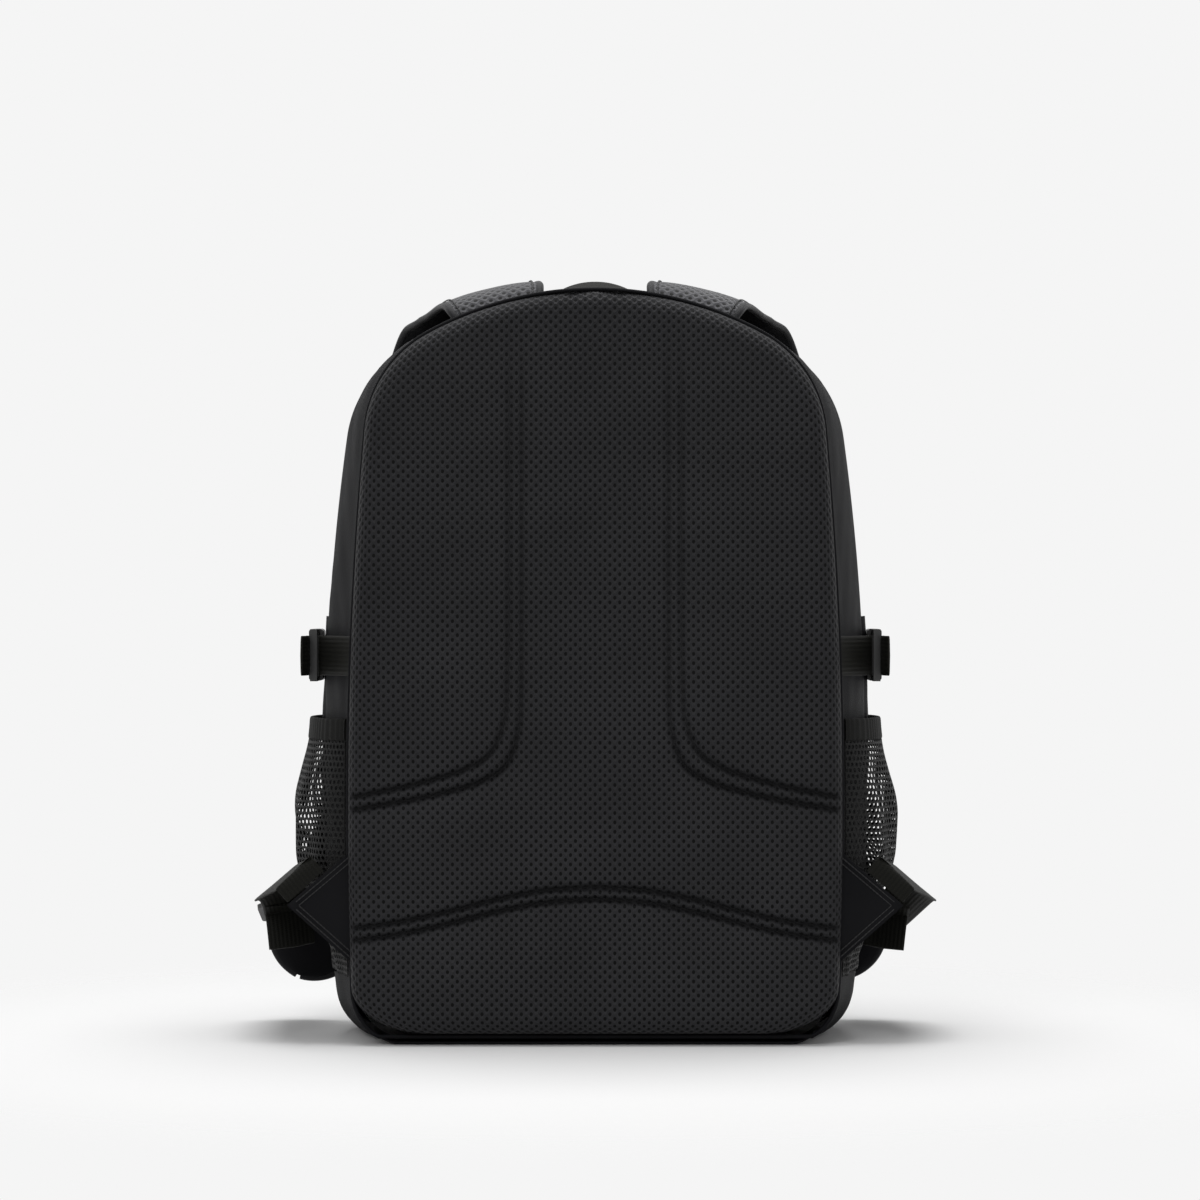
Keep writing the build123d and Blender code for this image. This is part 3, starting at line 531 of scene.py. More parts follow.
# The holes are laid out on flat cloth, which runs on outwards at the rim as far as it rolls down.
spine = np.stack([np.clip(plan[..., 0], -0.02, 0.02), np.clip(plan[..., 1], 0.12, 0.30)], -1)
outwards = (plan - spine) / np.maximum(np.linalg.norm(plan - spine, axis=-1, keepdims=True), 0.001)
pad_uv = plan + outwards * (PAD_STAND * (1 - profile))[..., None]
back_pad = surface("back_pad_mesh", front_skin, pad_uv)
# Painted groove shade, stored as the "pressed" attribute: up to 0.9 along the firmer channels, fading within
# about 1.7 mm of them.
painted_shade_layer = back_pad.data.attributes.new("pressed", "FLOAT", "POINT")
painted_groove_shade = 0.9 * firmness * np.exp(-(channels / (1.7 * MM)) ** 2)
painted_shade_layer.data.foreach_set("value", painted_groove_shade.reshape(-1).astype(np.float32))
settle(back_pad, pad_mesh, "bag", "spacer_mesh", "back_pad")
weld_points(back_pad, close=True)

# ---- Seam piping --------------------------------------------------------------------------
# Cord wrapped in pack cloth and caught in the seams round the back pad and the front panel.

PIPING_RADIUS = 1.35 * MM
PIPING_OUT = 1.3 * MM
PIPING_LOW = 5.3 * MM


def tube(name, line, radius, closed=True, around=10):
    """Round tube: each ring is a point of the line plus radius times cos and sin on two directions
    square to it."""
    nearby = np.roll(line, -1, 0) - np.roll(line, 1, 0) if closed else np.gradient(line, axis=0)
    along = unit(nearby)
    side = unit(np.cross(along, (0, 1, 0)))
    lift = np.cross(side, along)
    a = np.linspace(0, 2 * np.pi, around, endpoint=False)
    points = (line[:, None] + radius * (side[:, None] * np.cos(a)[None, :, None]
                                        + lift[:, None] * np.sin(a)[None, :, None]))
    lengths = running(line)
    lengths = np.append(lengths, lengths[-1] + 0.001)
    turns = np.linspace(0, 2 * np.pi * radius, around + 1)
    uv = np.stack(np.broadcast_arrays(lengths[:, None], turns[None]), -1)
    return surface(name, points, uv, closed=(closed, True))


for name, depth, outline in (("back_piping", BACK_Y - PIPING_OUT, "back"),
                             ("front_piping", FRONT_Y + PIPING_OUT, "front")):
    half = OUTLINES[outline][::6]
    right = np.stack([half[:, 0], np.full(len(half), depth), half[:, 1]], 1)
    loop = np.concatenate([right[:-1], (right * (-1, 1, 1))[::-1][:-1]])
    loop = loop + unit(loop - (0, depth, BAG_MIDDLE)) * PIPING_OUT
    loop[:, 2] = np.maximum(loop[:, 2], PIPING_LOW)
    settle(tube(name + "_cord", loop, PIPING_RADIUS), pack_cloth, "bag", "nylon", name)

# ---- Front panel --------------------------------------------------------------------------
# Pack cloth over foam, closing the front of the main compartment; slightly domed.

plan = panel_grid(OUTLINES["front"], 2 * MM, 200, 130)
inward = distance_to(plan, rim_of(plan))
dome = 0.0004 + 0.0030 * (1 - np.exp(-inward / 0.02))
flat = np.stack([plan[..., 0], np.zeros_like(inward), plan[..., 1]], -1)
dome = dome + ripple(flat, 33, 0.08, 0.0008) * (1 - np.exp(-inward / 0.01))
skin = flat + np.stack([np.zeros_like(dome), FRONT_Y + 0.0004 + dome, np.zeros_like(dome)], -1)
front_panel = surface("front_panel_cloth", skin, plan)
thicken(front_panel, 0.0014)
settle(front_panel, pack_cloth, "bag", "nylon", "front_panel")
sewn(front_panel)

# ---- Main zip -----------------------------------------------------------------------------
# Woven tape with a nylon coil along its middle, arched over the top of the bag. The coil is two
# rows of teeth 1.7 mm apart that lie between each other.

ZIP_MIDDLE = (ZIP_REAR_Y + ZIP_FRONT_Y) / 2
TOOTH_PITCH = 1.7 * MM
COIL_WIDTH, COIL_HEIGHT = 5.6 * MM, 1.4 * MM

# The tape's threads lie about 0.6 mm apart and are drawn 1.2 mm apart.
tape_cloth = woven("woven_polyester_zip_tape", "19191A", 1.2, 0.7, 0.03, relief=0.4)
coil_nylon, tree, place = new_material("moulded_nylon_coil")
grain = add(tree, "TexNoise", {"Scale": 700.0, "Detail": 2.0}, Vector=place.outputs["Object"])
gloss = add(tree, "MapRange", {"To Min": 0.3, "To Max": 0.45}, Value=grain.outputs["Fac"])
principled(tree, {"Base Color": linear("161616"), "IOR": 1.53}, Roughness=gloss.outputs[0])


def teeth(length, widths):
    """Coil height at a running length and a place across: two rows of sine teeth half a pitch apart."""
    phase = 2 * np.pi * length / TOOTH_PITCH + np.pi * (widths > 0)
    arch = np.sqrt(np.clip(1 - (widths / (COIL_WIDTH / 2)) ** 2, 0, 1))
    return COIL_HEIGHT * arch * (0.62 + 0.30 * np.cos(phase)) - 0.0003


turn = np.linspace(-zip_turn, zip_turn, 700)[:, None]
depth = np.linspace(ZIP_REAR_Y, ZIP_FRONT_Y, 24)[None]
tape = on_bag(turn, depth, 0.0002 + ripple(on_bag(turn, depth), 41, 0.05, 0.0003))
zip_tape = surface("main_zip_tape_cloth", tape, cloth_uv(tape))
thicken(zip_tape, 0.0008)
settle(zip_tape, tape_cloth, "bag", "zip_tape", "main_zip_tape")
sewn(zip_tape)
spine = on_bag(turn[:, 0], np.full(700, ZIP_MIDDLE))
run = running(spine)
fine_run = np.arange(0, run[-1], TOOTH_PITCH / 5)
fine_turn = np.interp(fine_run, run, turn[:, 0])[:, None]
widths = np.linspace(-COIL_WIDTH / 2, COIL_WIDTH / 2, 9)[None]
coil = on_bag(fine_turn, ZIP_MIDDLE + widths, teeth(fine_run[:, None], widths))
settle(surface("main_zip_teeth", coil, cloth_uv(coil)), coil_nylon, "bag", "zip_coil", "main_zip_coil")

# ---- Front pocket -------------------------------------------------------------------------
# Boxy cargo pocket of pack cloth sewn to the front panel, with a straight zip across its face.

POCKET_HALF, POCKET_LOW, POCKET_HIGH = 90 * MM, 30 * MM, 330 * MM
POCKET_BACK, POCKET_FACE = 67.2 * MM, 101 * MM
POCKET_ROUND = 24 * MM
POCKET_ZIP, POCKET_BAND = 268 * MM, 22 * MM


def pocket_half_width(level):
    """Half-width at a height: straight sides with circular corners top and bottom."""
    gap = np.minimum(level - POCKET_LOW, POCKET_HIGH - level)
    part = np.clip(gap / POCKET_ROUND, 0, 1)
    return POCKET_HALF - POCKET_ROUND * (1 - np.sqrt(np.clip(1 - (1 - part) ** 2, 0, 1)))


def pocket_skin(levels, columns, seed):
    """Pocket face over some heights: dropped in a quarter round at the rim, domed and rippled inside."""
    half = pocket_half_width(levels)[:, None]
    x = half * np.sin(np.linspace(-1, 1, columns) * np.pi / 2 * 0.9)[None] / np.sin(np.pi / 2 * 0.9)
    z = np.broadcast_to(levels[:, None], x.shape)
    rim = np.minimum(half - np.abs(x), np.minimum(z - POCKET_LOW, POCKET_HIGH - z))
    part = np.clip(rim / 0.012, 0, 1)
    drop = 0.009 * (1 - np.sqrt(np.clip(1 - (1 - part) ** 2, 0, 1)))
    flat = np.stack([x, np.zeros_like(x), z], -1)
    y = POCKET_FACE - 0.0002 - drop + ripple(flat, seed, 0.06, 0.0008) * part
    return np.stack([x, y, z], -1)


band_low, band_high = POCKET_ZIP - POCKET_BAND / 2, POCKET_ZIP + POCKET_BAND / 2
for name, node, low, high, cloth, slot in (
        ("pocket_lower_cloth", "front_pocket_lower_face", POCKET_LOW, band_low, pack_cloth, "nylon"),
        ("pocket_zip_tape_cloth", "front_pocket_zip_tape", band_low, band_high, tape_cloth, "zip_tape"),
        ("pocket_upper_cloth", "front_pocket_upper_face", band_high, POCKET_HIGH, pack_cloth, "nylon")):
    levels = np.linspace(low, high, max(24, int((high - low) / 0.0022)))
    skin = pocket_skin(levels, 90, 51)
    skin[..., 1] += 0.0003 * (slot == "zip_tape")
    face = thicken(surface(name, skin, cloth_uv(skin)), 0.001)
    settle(face, cloth, "bag", slot, node)
    sewn(face)
corner = np.linspace(0, np.pi / 2, 16)
loop = []
for sx, sz, start in ((1, 1, 0), (-1, 1, 1), (-1, -1, 2), (1, -1, 3)):
    angle = corner + start * np.pi / 2
    middle_z = POCKET_HIGH - POCKET_ROUND if sz > 0 else POCKET_LOW + POCKET_ROUND
    loop.append(np.stack([sx * (POCKET_HALF - POCKET_ROUND) + POCKET_ROUND * np.cos(angle),
                          middle_z + POCKET_ROUND * np.sin(angle)], 1))
loop = np.concatenate(loop)
loop = np.linspace(loop, np.roll(loop, -1, 0), 8, endpoint=False, axis=1).reshape(-1, 2)
depth = np.linspace(POCKET_BACK, POCKET_FACE - 9.6 * MM, 16)
wall = np.stack(np.broadcast_arrays(loop[:, :1], depth[None], loop[:, 1:]), -1)
wall[..., 0] += ripple(wall, 61, 0.05, 0.0007)
pocket_wall = surface("pocket_gusset_cloth", wall, cloth_uv(wall, True), closed=(True, False), flip=True)
thicken(pocket_wall, 0.001)
settle(pocket_wall, pack_cloth, "bag", "nylon", "front_pocket_gusset")
sewn(pocket_wall)
widths = np.linspace(-COIL_WIDTH / 2, COIL_WIDTH / 2, 9)[None]
fine_run = np.arange(-84 * MM, 84 * MM, TOOTH_PITCH / 5)[:, None]
coil = np.stack(np.broadcast_arrays(fine_run, POCKET_FACE + 0.0003 + teeth(fine_run, widths),
                                    POCKET_ZIP + widths), -1)
settle(surface("pocket_zip_teeth", coil, cloth_uv(coil), flip=True), coil_nylon, "bag", "zip_coil",
       "front_pocket_zip_coil")

# ---- Net side pockets ---------------------------------------------------------------------
# Open polyester net, cells about 4 mm, sewn down both sides and gathered under an elastic binding.

NET_CENTRE, NET_DEPTH = 150 * MM, 62 * MM
NET_LOW, NET_HIGH, BINDING_TOP = 42 * MM, 189 * MM, 203 * MM
NET_REACH = ((42, 12), (70, 23.5), (110, 39.5), (150, 42), (189, 32), (204, 31))
CELL = 4.2 * MM
THREAD = 0.78 * MM


def skin_x(y, z):
    """Half-width of the bag's skin at a depth and height: the outlines' sides, blended between depths."""
    sides = [np.interp(z, outline[::-1, 1], outline[::-1, 0]) for outline in STACK]
    share = np.clip(np.interp(y, STACK_Y, np.arange(4.0)), 0, 3)
    low = np.clip(share.astype(int), 0, 2)
    stack = np.stack(np.broadcast_arrays(*sides))
    below = np.take_along_axis(stack, low[None], 0)[0]
    above = np.take_along_axis(stack, low[None] + 1, 0)[0]
    return below + (above - below) * (share - low)


def pocket_point(angle, z, sign, seed, proud=0.0):
    """Net pocket surface: half ellipse of depth about the side, its reach swelling with height,
    never inside the bag's skin, with slack folds that fade at the top."""
    levels, reaches = np.array(NET_REACH).T * MM
    reach = smooth_reach(z, levels, reaches)
    y = NET_DEPTH * np.sin(angle)
    slack = 0.0016 * np.sin(angle * 9 + seed + z * 55) * np.clip((NET_HIGH - z) / 0.05, 0, 1)
    x = NET_CENTRE + (reach + slack) * np.cos(angle)
    x = np.maximum(x, skin_x(y, z) + 0.0028) + proud
    return np.stack([sign * x, y, z], -1)


def smooth_reach(z, levels, reaches):
    """Reach eased between its stated heights by averaging over 16 mm of height."""
    return sum(np.interp(z + shift, levels, reaches) for shift in np.linspace(-0.008, 0.008, 5)) / 5


net_yarn, tree, place = new_material("knitted_polyester_net")
twist = add(tree, "TexNoise", {"Scale": 600.0, "Detail": 2.0}, Vector=place.outputs["Object"])
bump = add(tree, "Bump", {"Strength": 0.4, "Distance": 0.0002}, Height=twist.outputs["Fac"])
principled(tree, {"Base Color": linear("161616"), "Roughness": 0.6, "Specular IOR Level": 0.2},
           Normal=bump.outputs[0])

elastic_knit = woven("ribbed_elastic_binding", "1B1B1A", 1.6, 0.7, 0.03, relief=0.4)


def rounded(wave, power):
    """A sine or cosine raised to a power with its sign kept: one half of a superellipse."""
    return np.sign(wave) * np.abs(wave) ** power


def hexagon_net(name, sign, seed):
    """Net of hexagon rings on a staggered lattice, laid on the pocket surface and joined where they meet."""
    span, rise = 0.168, NET_HIGH - NET_LOW
    columns, rows = int(span / CELL), int(rise / (CELL * 0.866))
    i, j = np.meshgrid(np.arange(columns + 1), np.arange(rows + 1), indexing="ij")
    centres = np.stack([(i + 0.5 * (j % 2)) * span / (columns + 0.5), j * rise / rows], -1).reshape(-1, 1, 2)
    angle = np.pi / 6 + np.arange(6) * np.pi / 3
    corners = np.stack([np.cos(angle), np.sin(angle)], 1)[None] * CELL / np.sqrt(3)
    outer = centres + corners
    inner = centres + corners * (1 - THREAD / (CELL / 2))
    flat = np.concatenate([outer, inner], 1).reshape(-1, 2)
    flat[:, 0] = np.clip(flat[:, 0], 0, span)
    flat[:, 1] = np.clip(flat[:, 1], 0, rise)
    points = pocket_point((flat[:, 0] / span - 0.5) * 2 * 1.5, NET_LOW + flat[:, 1], sign, seed)
    count = len(centres)
    k = np.arange(6)
    ring = np.stack([k, (k + 1) % 6, 6 + (k + 1) % 6, 6 + k], 1)
    faces = (ring[None] + 12 * np.arange(count)[:, None, None]).reshape(-1, 4)
    if sign < 0:
        faces = faces[:, ::-1]
    mesh = bpy.data.meshes.new(name)
    mesh.from_pydata(points, [], faces.tolist())
    shape = bmesh.new()
    shape.from_mesh(mesh)
    bmesh.ops.remove_doubles(shape, verts=shape.verts, dist=2e-5)
    bmesh.ops.dissolve_degenerate(shape, dist=1e-6, edges=shape.edges)
    shape.to_mesh(mesh)
    shape.free()
    mesh.shade_smooth()
    piece = bpy.data.objects.new(name, mesh)
    bpy.context.scene.collection.objects.link(piece)
    return thicken(piece, 0.0005, 0.0)


for side, sign in SIDES.items():
    net = hexagon_net(f"net_pocket_{side}", sign, 2.0 if sign > 0 else 4.4)
    settle(net, net_yarn, "bag", "net", f"mesh_pocket_{side}")
    angle = np.linspace(-1.5, 1.5, 220)
    loop = np.linspace(0, 2 * np.pi, 14, endpoint=False)
    gather = 0.00022 * np.sin(angle * 62 + 2 * np.sin(angle * 9))[:, None]
    z = (NET_HIGH + BINDING_TOP) / 2 + (BINDING_TOP - NET_HIGH) / 2 * rounded(np.sin(loop), 0.35)
    thick = 0.0013 * rounded(np.cos(loop), 0.6)
    grid_angle, grid_z = np.broadcast_arrays(angle[:, None], z[None])
    hem = pocket_point(grid_angle, grid_z, sign, 0.0, thick[None] + gather - 0.0006)
    uv_grid = np.stack(np.broadcast_arrays(angle[:, None] * 0.06, np.append(z, z[0])[None]), -1)
    elastic = surface(f"pocket_elastic_{side}_band", hem, uv_grid, closed=(False, True), flip=sign < 0)
    settle(elastic, elastic_knit, "bag", "elastic", f"pocket_binding_{side}")

# ---- Nylon wings --------------------------------------------------------------------------
# Doubled pack cloth triangles sewn into the back seam low down, edge-stitched; the adjuster
# webbing is sewn between their two layers.

WING_ROOT, WING_TIP, WING_LOW = (147, 125), (192, 87), (147, 47)
WING_Y = -66.2 * MM


def stitched(name, colour, pitch_mm, roughness):
    """Thread material: each stitch is a bright lobe, |cos| of the running length over the pitch."""
    material, tree, place = new_material(name)
    split = add(tree, "SeparateXYZ", None, _0=place.outputs["UV"])
    phase = maths(tree, "MULTIPLY", split.outputs[0], np.pi / (pitch_mm * MM))
    lobe = maths(tree, "ABSOLUTE", maths(tree, "COSINE", phase))
    tone = two_tone(tree, lobe, colour, 0.25, 1)
    bump = add(tree, "Bump", {"Strength": 0.6, "Distance": 0.0004}, Height=lobe)
    principled(tree, {"Roughness": roughness, "Specular IOR Level": 0.25}, Base_Color=tone,
               Normal=bump.outputs[0])
    return material


sewing_thread = stitched("black_polyester_thread", "2A2A2B", 2.8, 0.5)


def seam(name, line, body, slot, radius=0.0005):
    """Row of stitches: a thin tube laid along a line of 3-D points, half sunk in the cloth."""
    return settle(tube(name, line, radius, closed=False, around=6), sewing_thread, body, slot)


for side, sign in SIDES.items():
    t, share = np.meshgrid(np.linspace(0, 1, 34), np.linspace(0, 1, 26), indexing="ij")
    out_edge = np.array(WING_ROOT) * (1 - t[..., None]) + np.array(WING_TIP) * t[..., None]
    sewn_edge = np.array(WING_ROOT) * (1 - t[..., None]) + np.array(WING_LOW) * t[..., None]
    plan = (sewn_edge + (out_edge - sewn_edge) * share[..., None]) * MM
    spread = np.stack([sign * plan[..., 0], np.full(plan.shape[:2], WING_Y - 0.0002), plan[..., 1]], -1)
    spread[..., 1] += ripple(spread, 71 + sign, 0.04, 0.0006)
    wing = surface(f"wing_cloth_{side}", spread, plan, flip=sign < 0)
    thicken(wing, 0.0018, 0.0)
    settle(wing, pack_cloth, "bag", "nylon", f"wing_{side}")
    sewn(wing)
    for inset in (2.2, 5.0):
        t = np.linspace(0.04, 0.9, 60)[:, None]
        for label, start, inwards in (("upper", WING_ROOT, (-0.646, -0.763)),
                                      ("lower", WING_LOW, (-0.664, 0.747))):
            line = (np.array(start) * (1 - t) + np.array(WING_TIP) * t + np.array(inwards) * inset) * MM
            path = np.stack([sign * line[:, 0], np.full(60, WING_Y - 0.0013), line[:, 1]], 1)
            seam(f"wing_stitch_{label}_{int(inset)}_{side}", path, "bag", "nylon", 0.0004)

# ---- Webbing ------------------------------------------------------------------------------
# Flat polypropylene webbing with a herringbone face and thick selvedges; slightly olive black.
# The rows of threads across it are drawn ROW millimetres apart.

ROW = 1.3


def ribbed(name, colour, rib_mm, roughness):
    """Webbing weave: ribs along the length, broken across by rows that lean the other way each time."""
    material, tree, place = new_material(name)
    split = add(tree, "SeparateXYZ", None, _0=place.outputs["UV"])
    fold = maths(tree, "SINE", maths(tree, "MULTIPLY", split.outputs[1], 2 * np.pi / (rib_mm * MM)))
    lean = maths(tree, "MULTIPLY", fold, 1.6)
    thread = maths(tree, "SINE", maths(tree, "MULTIPLY_ADD", split.outputs[0], 2 * np.pi / (ROW * MM), lean))
    height = maths(tree, "MULTIPLY_ADD", thread, 0.6, fold)
    share = add(tree, "MapRange", {"From Min": -1.6, "From Max": 1.6}, Value=height)
    tone = two_tone(tree, share.outputs[0], colour, 0.7, 1.3)
    bump = add(tree, "Bump", {"Strength": 0.3, "Distance": 0.0003}, Height=height)
    principled(tree, {"Roughness": roughness, "Sheen Weight": 0.01, "Sheen Roughness": 0.4,
                      "Specular IOR Level": 0.09}, Base_Color=tone, Normal=bump.outputs[0])
    return material


webbing_weave = ribbed("black_polypropylene_webbing", "131310", 2.6, 0.55)


def frames_along(line, across):
    """Unit directions across a line, squared to it, and out of the face that they span."""
    along = unit(np.gradient(line, axis=0))
    side = unit(across - along * (along * across).sum(1, keepdims=True))
    return side, np.cross(along, side)


def tip_samples(fine, reach):
    """The same line, its last 60 samples at sines of even angles over reach: a round tip is even."""
    run = running(fine[:, :3])
    tip = run[-1] - reach * (1 - np.sin(np.linspace(0, np.pi / 2, 61)[1:]))
    steps = np.concatenate([np.linspace(0, run[-1] - reach, len(fine) - 60), tip])
    return np.stack([np.interp(steps, run, column) for column in fine.T], 1)


def band(name, stations, thickness, count=160, power=0.45, columns=28, round_end=0.0):
    """Flat strap through stations (x, y, z, across x, y, z, width) in millimetres: a Catmull-Rom line
    whose section is a superellipse; over round_end its last stretch narrows in a half round. Faces of
    the section's second half get the second material. Returns the piece, its line, the directions
    across and out of its face, and its widths."""
    fine = smooth_line(stations, count)
    if round_end:
        fine = tip_samples(fine, round_end)
    line, across, width = fine[:, :3] * MM, fine[:, 3:6], fine[:, 6:7] * MM
    side, face = frames_along(line, across)
    run = running(line)
    left = np.clip(1 - (run[-1] - run) / max(round_end * MM, 1e-9), 0, 0.9998)
    width = width * np.sqrt(1 - left * left)[:, None]
    a = np.linspace(0, 2 * np.pi, columns, endpoint=False)
    wide = rounded(np.cos(a), power)
    lift = rounded(np.sin(a), power * 1.4) * thickness * MM / 2
    points = (line[:, None] + side[:, None] * (wide[None, :, None] * width[:, None] / 2)
              + face[:, None] * lift[None, :, None])
    place = np.append(wide, wide[0]) * float(width.mean()) / 2
    uv = np.stack(np.broadcast_arrays(run[:, None], place[None]), -1)
    piece = surface(name, points, uv, closed=(False, True), flip=True)
    weld_points(piece, close=True)
    under = np.tile(np.arange(columns) >= columns // 2, count - 1)
    under = np.append(under, np.zeros(len(piece.data.polygons) - len(under), bool))
    piece.data.polygons.foreach_set("material_index", under.astype(np.int32))
    return piece, line, side, face, width[:, 0]


def fixed_across(points, across, width):
    """Stations that all have the same direction across and the same width."""
    return [(*point, *across, width) for point in points]


def mirrored(stations, sign):
    """Stations of the +X side, turned over to -X when the sign is negative."""
    return [(sign * s[0], s[1], s[2], sign * s[3], s[4], s[5], s[6]) for s in stations]


# The haul loop: sewn flat at both ends, standing up in a low arch between them.
ARCH = ((-34, 466.0), (-30, 466.4), (-25, 468.2), (-18, 471.2), (-9, 473.0), (0, 473.5), (9, 473.0),
        (18, 471.2), (25, 468.2), (30, 466.4), (34, 466.0))
HAUL_Y, HAUL_WIDTH, HAUL_THICK = -36, 20, 1.9
lean = 0.42 * np.cos(np.array(ARCH)[:, 0] / 34 * np.pi / 2) + 0.02
stations = [(x, HAUL_Y, z, 0, np.sqrt(1 - part * part), part, HAUL_WIDTH) for (x, z), part in zip(ARCH, lean)]
haul, *_ = band("haul_loop_webbing", stations, HAUL_THICK)
settle(haul, webbing_weave, "bag", "webbing", "haul_handle")

# ---- Compression straps -------------------------------------------------------------------
# 25 mm webbing from the back seam to a side-release buckle, its tail folded back over the
# adjuster bar, and a short webbing from the buckle on to the front seam.

COMP_Z, COMP_WIDTH, COMP_THICK = 242, 25, 1.5
REAR_RUN = ((152.6, -64.2), (158.5, -53), (166.5, -38), (172.4, -25.5), (174.8, -21.8))
FRONT_RUN = ((178.5, 33.4), (175.5, 41), (169, 51), (159.6, 64.2))
TAIL_RUN = ((183.0, -20.6), (182.0, -25.5), (180.6, -33), (181.8, -41.5), (184.2, -49))

for side, sign in SIDES.items():
    buckle = f"buckle_{side}"
    for label, route, body, node in (("rear", REAR_RUN, (buckle, -62 * MM, -26 * MM), "comp_webbing_rear"),
                                     ("front", FRONT_RUN, "bag", "comp_webbing_front"),
                                     ("tail", TAIL_RUN, buckle, "comp_tail")):
        stations = mirrored(fixed_across([(x, y, COMP_Z) for x, y in route], (0, 0, 1), COMP_WIDTH), sign)
        piece, *_ = band(f"compression_{label}_{side}_weave", stations, COMP_THICK, count=90)
        settle(piece, webbing_weave, body, "webbing", f"{node}_{side}")

# ---- Shoulder straps ----------------------------------------------------------------------
# 9 mm foam, pack cloth on the outside and spacer mesh on the wearer's side, bound all round with
# folded nylon tape and edge-stitched. They hang over the crown and down the front.

STRAP_THICK, BINDING_THICK, BINDING_WIDTH = 9.0, 4.4, 6.0
STRAP_TIP = 30
STRAP_COUNT = 420
OVER_TOP = ((58, -60.5, 448, 44), (60, -60, 456, 54), (62.5, -53, 464.5, 61), (65, -36, 469, 64),
            (69, -8, 469.5, 66), (75, 20, 466, 68), (84, 45, 459, 66), (95, 66, 447, 64),
            (104, 77.5, 427, 62))
DOWN_FRONT = ((113, 81.5, 400, 60), (121, 82, 360, 58), (127, 82, 300, 57), (131, 82, 235, 57))
SWUNG = ((0.14, 82, 180, 58), (0.42, 83, 124, 60), (1.0, 85, 62, 62), (1.14, 85.5, 46, 62),
         (1.27, 86, 30, 62))
SPLAY = {"left": 51, "right": 29}
STRAP_TILT = np.radians(13)


def strap_stations(side):
    """Stations of a strap drawn at +X: its width leans down the slope of the crown, level below it."""
    route = list(OVER_TOP) + list(DOWN_FRONT) + [(131 + SPLAY[side] * share, *rest) for share, *rest in SWUNG]
    out = []
    for x, y, z, width in route:
        tilt = STRAP_TILT * np.clip((z - 430) / 36, 0, 1)
        out.append((x, y, z, np.cos(tilt), 0.0, -np.sin(tilt), width))
    return out


# The strap's spacer mesh is the pad's black mesh painted lighter, 4E4E51 against 2C2C2E: painted light for
# the strap's top-lit face.
lit_copy_strap_mesh = spacer_mesh("spacer_mesh_strap_face_painted_lighter", "4E4E51", 0.4)
binding_cloth = woven("folded_nylon_binding", "1F1F21", 0.9, 0.45, 0.06)
for side, sign in SIDES.items():
    stations = mirrored(strap_stations(side), sign)
    pad, line, across, face, width = band(f"strap_pad_{side}", stations, STRAP_THICK, count=STRAP_COUNT,
                                          power=0.85, columns=48, round_end=STRAP_TIP)
    front, behind = (pack_cloth, lit_copy_strap_mesh) if sign > 0 else (lit_copy_strap_mesh, pack_cloth)
    swings = (f"strap_{side}", -60 * MM, -4 * MM)
    settle(pad, front, swings, "spacer_mesh", f"shoulder_strap_{side}", under=behind)
    half = width[:, None] / 2
    crown_side = np.sign(face[60, 2])
    for label, edge_sign in (("inner", -1), ("outer", 1)):
        middle = line + across * edge_sign * np.maximum(half - 0.0022, 0.001)
        turning = unit(np.cross(face, np.gradient(middle, axis=0)))
        edge_line = np.concatenate([middle / MM, turning, np.full((STRAP_COUNT, 1), BINDING_WIDTH)], 1)
        edge_tape, *_ = band(f"strap_binding_{label}_{side}", edge_line, BINDING_THICK, count=STRAP_COUNT,
                             power=0.8, columns=20)
        settle(edge_tape, binding_cloth, swings, "nylon")
        upper = line + across * edge_sign * (half - 0.0058) + face * crown_side * 0.0031
        seam(f"strap_stitch_{label}_{side}", upper[4:-16], swings, "nylon")

# ---- Adjuster webbing and its loops -------------------------------------------------------
# 30 mm webbing from each wing, outside the net pocket, through the ladder lock over its middle
# bar to a free tail; a short loop holds the lock to the strap.

WING_EDGE = np.array((0.7493, 0, -0.6622))
WING_OUT = np.array((0.6622, 0, 0.7493))
LOCK_CENTRE = {"left": (200, 52, 76), "right": (189, 58.5, 75)}


def lock_frame():
    """Axes of a +X ladder lock: across the webbing, along it towards the strap, and out of its face."""
    x = np.array([np.cos(np.radians(9)), 0, -np.sin(np.radians(9))])
    back = np.array([0, -np.cos(np.radians(25)), np.sin(np.radians(25))])
    back = unit(back - x * (x @ back))
    return x, back, np.cross(back, x)


def in_lock(side, pairs):
    """Points given as (along, above) a +X lock's middle bar, in millimetres in the bag's frame."""
    _, along, above = lock_frame()
    return [tuple(np.array(LOCK_CENTRE[side]) + along * a + above * b) for a, b in pairs]


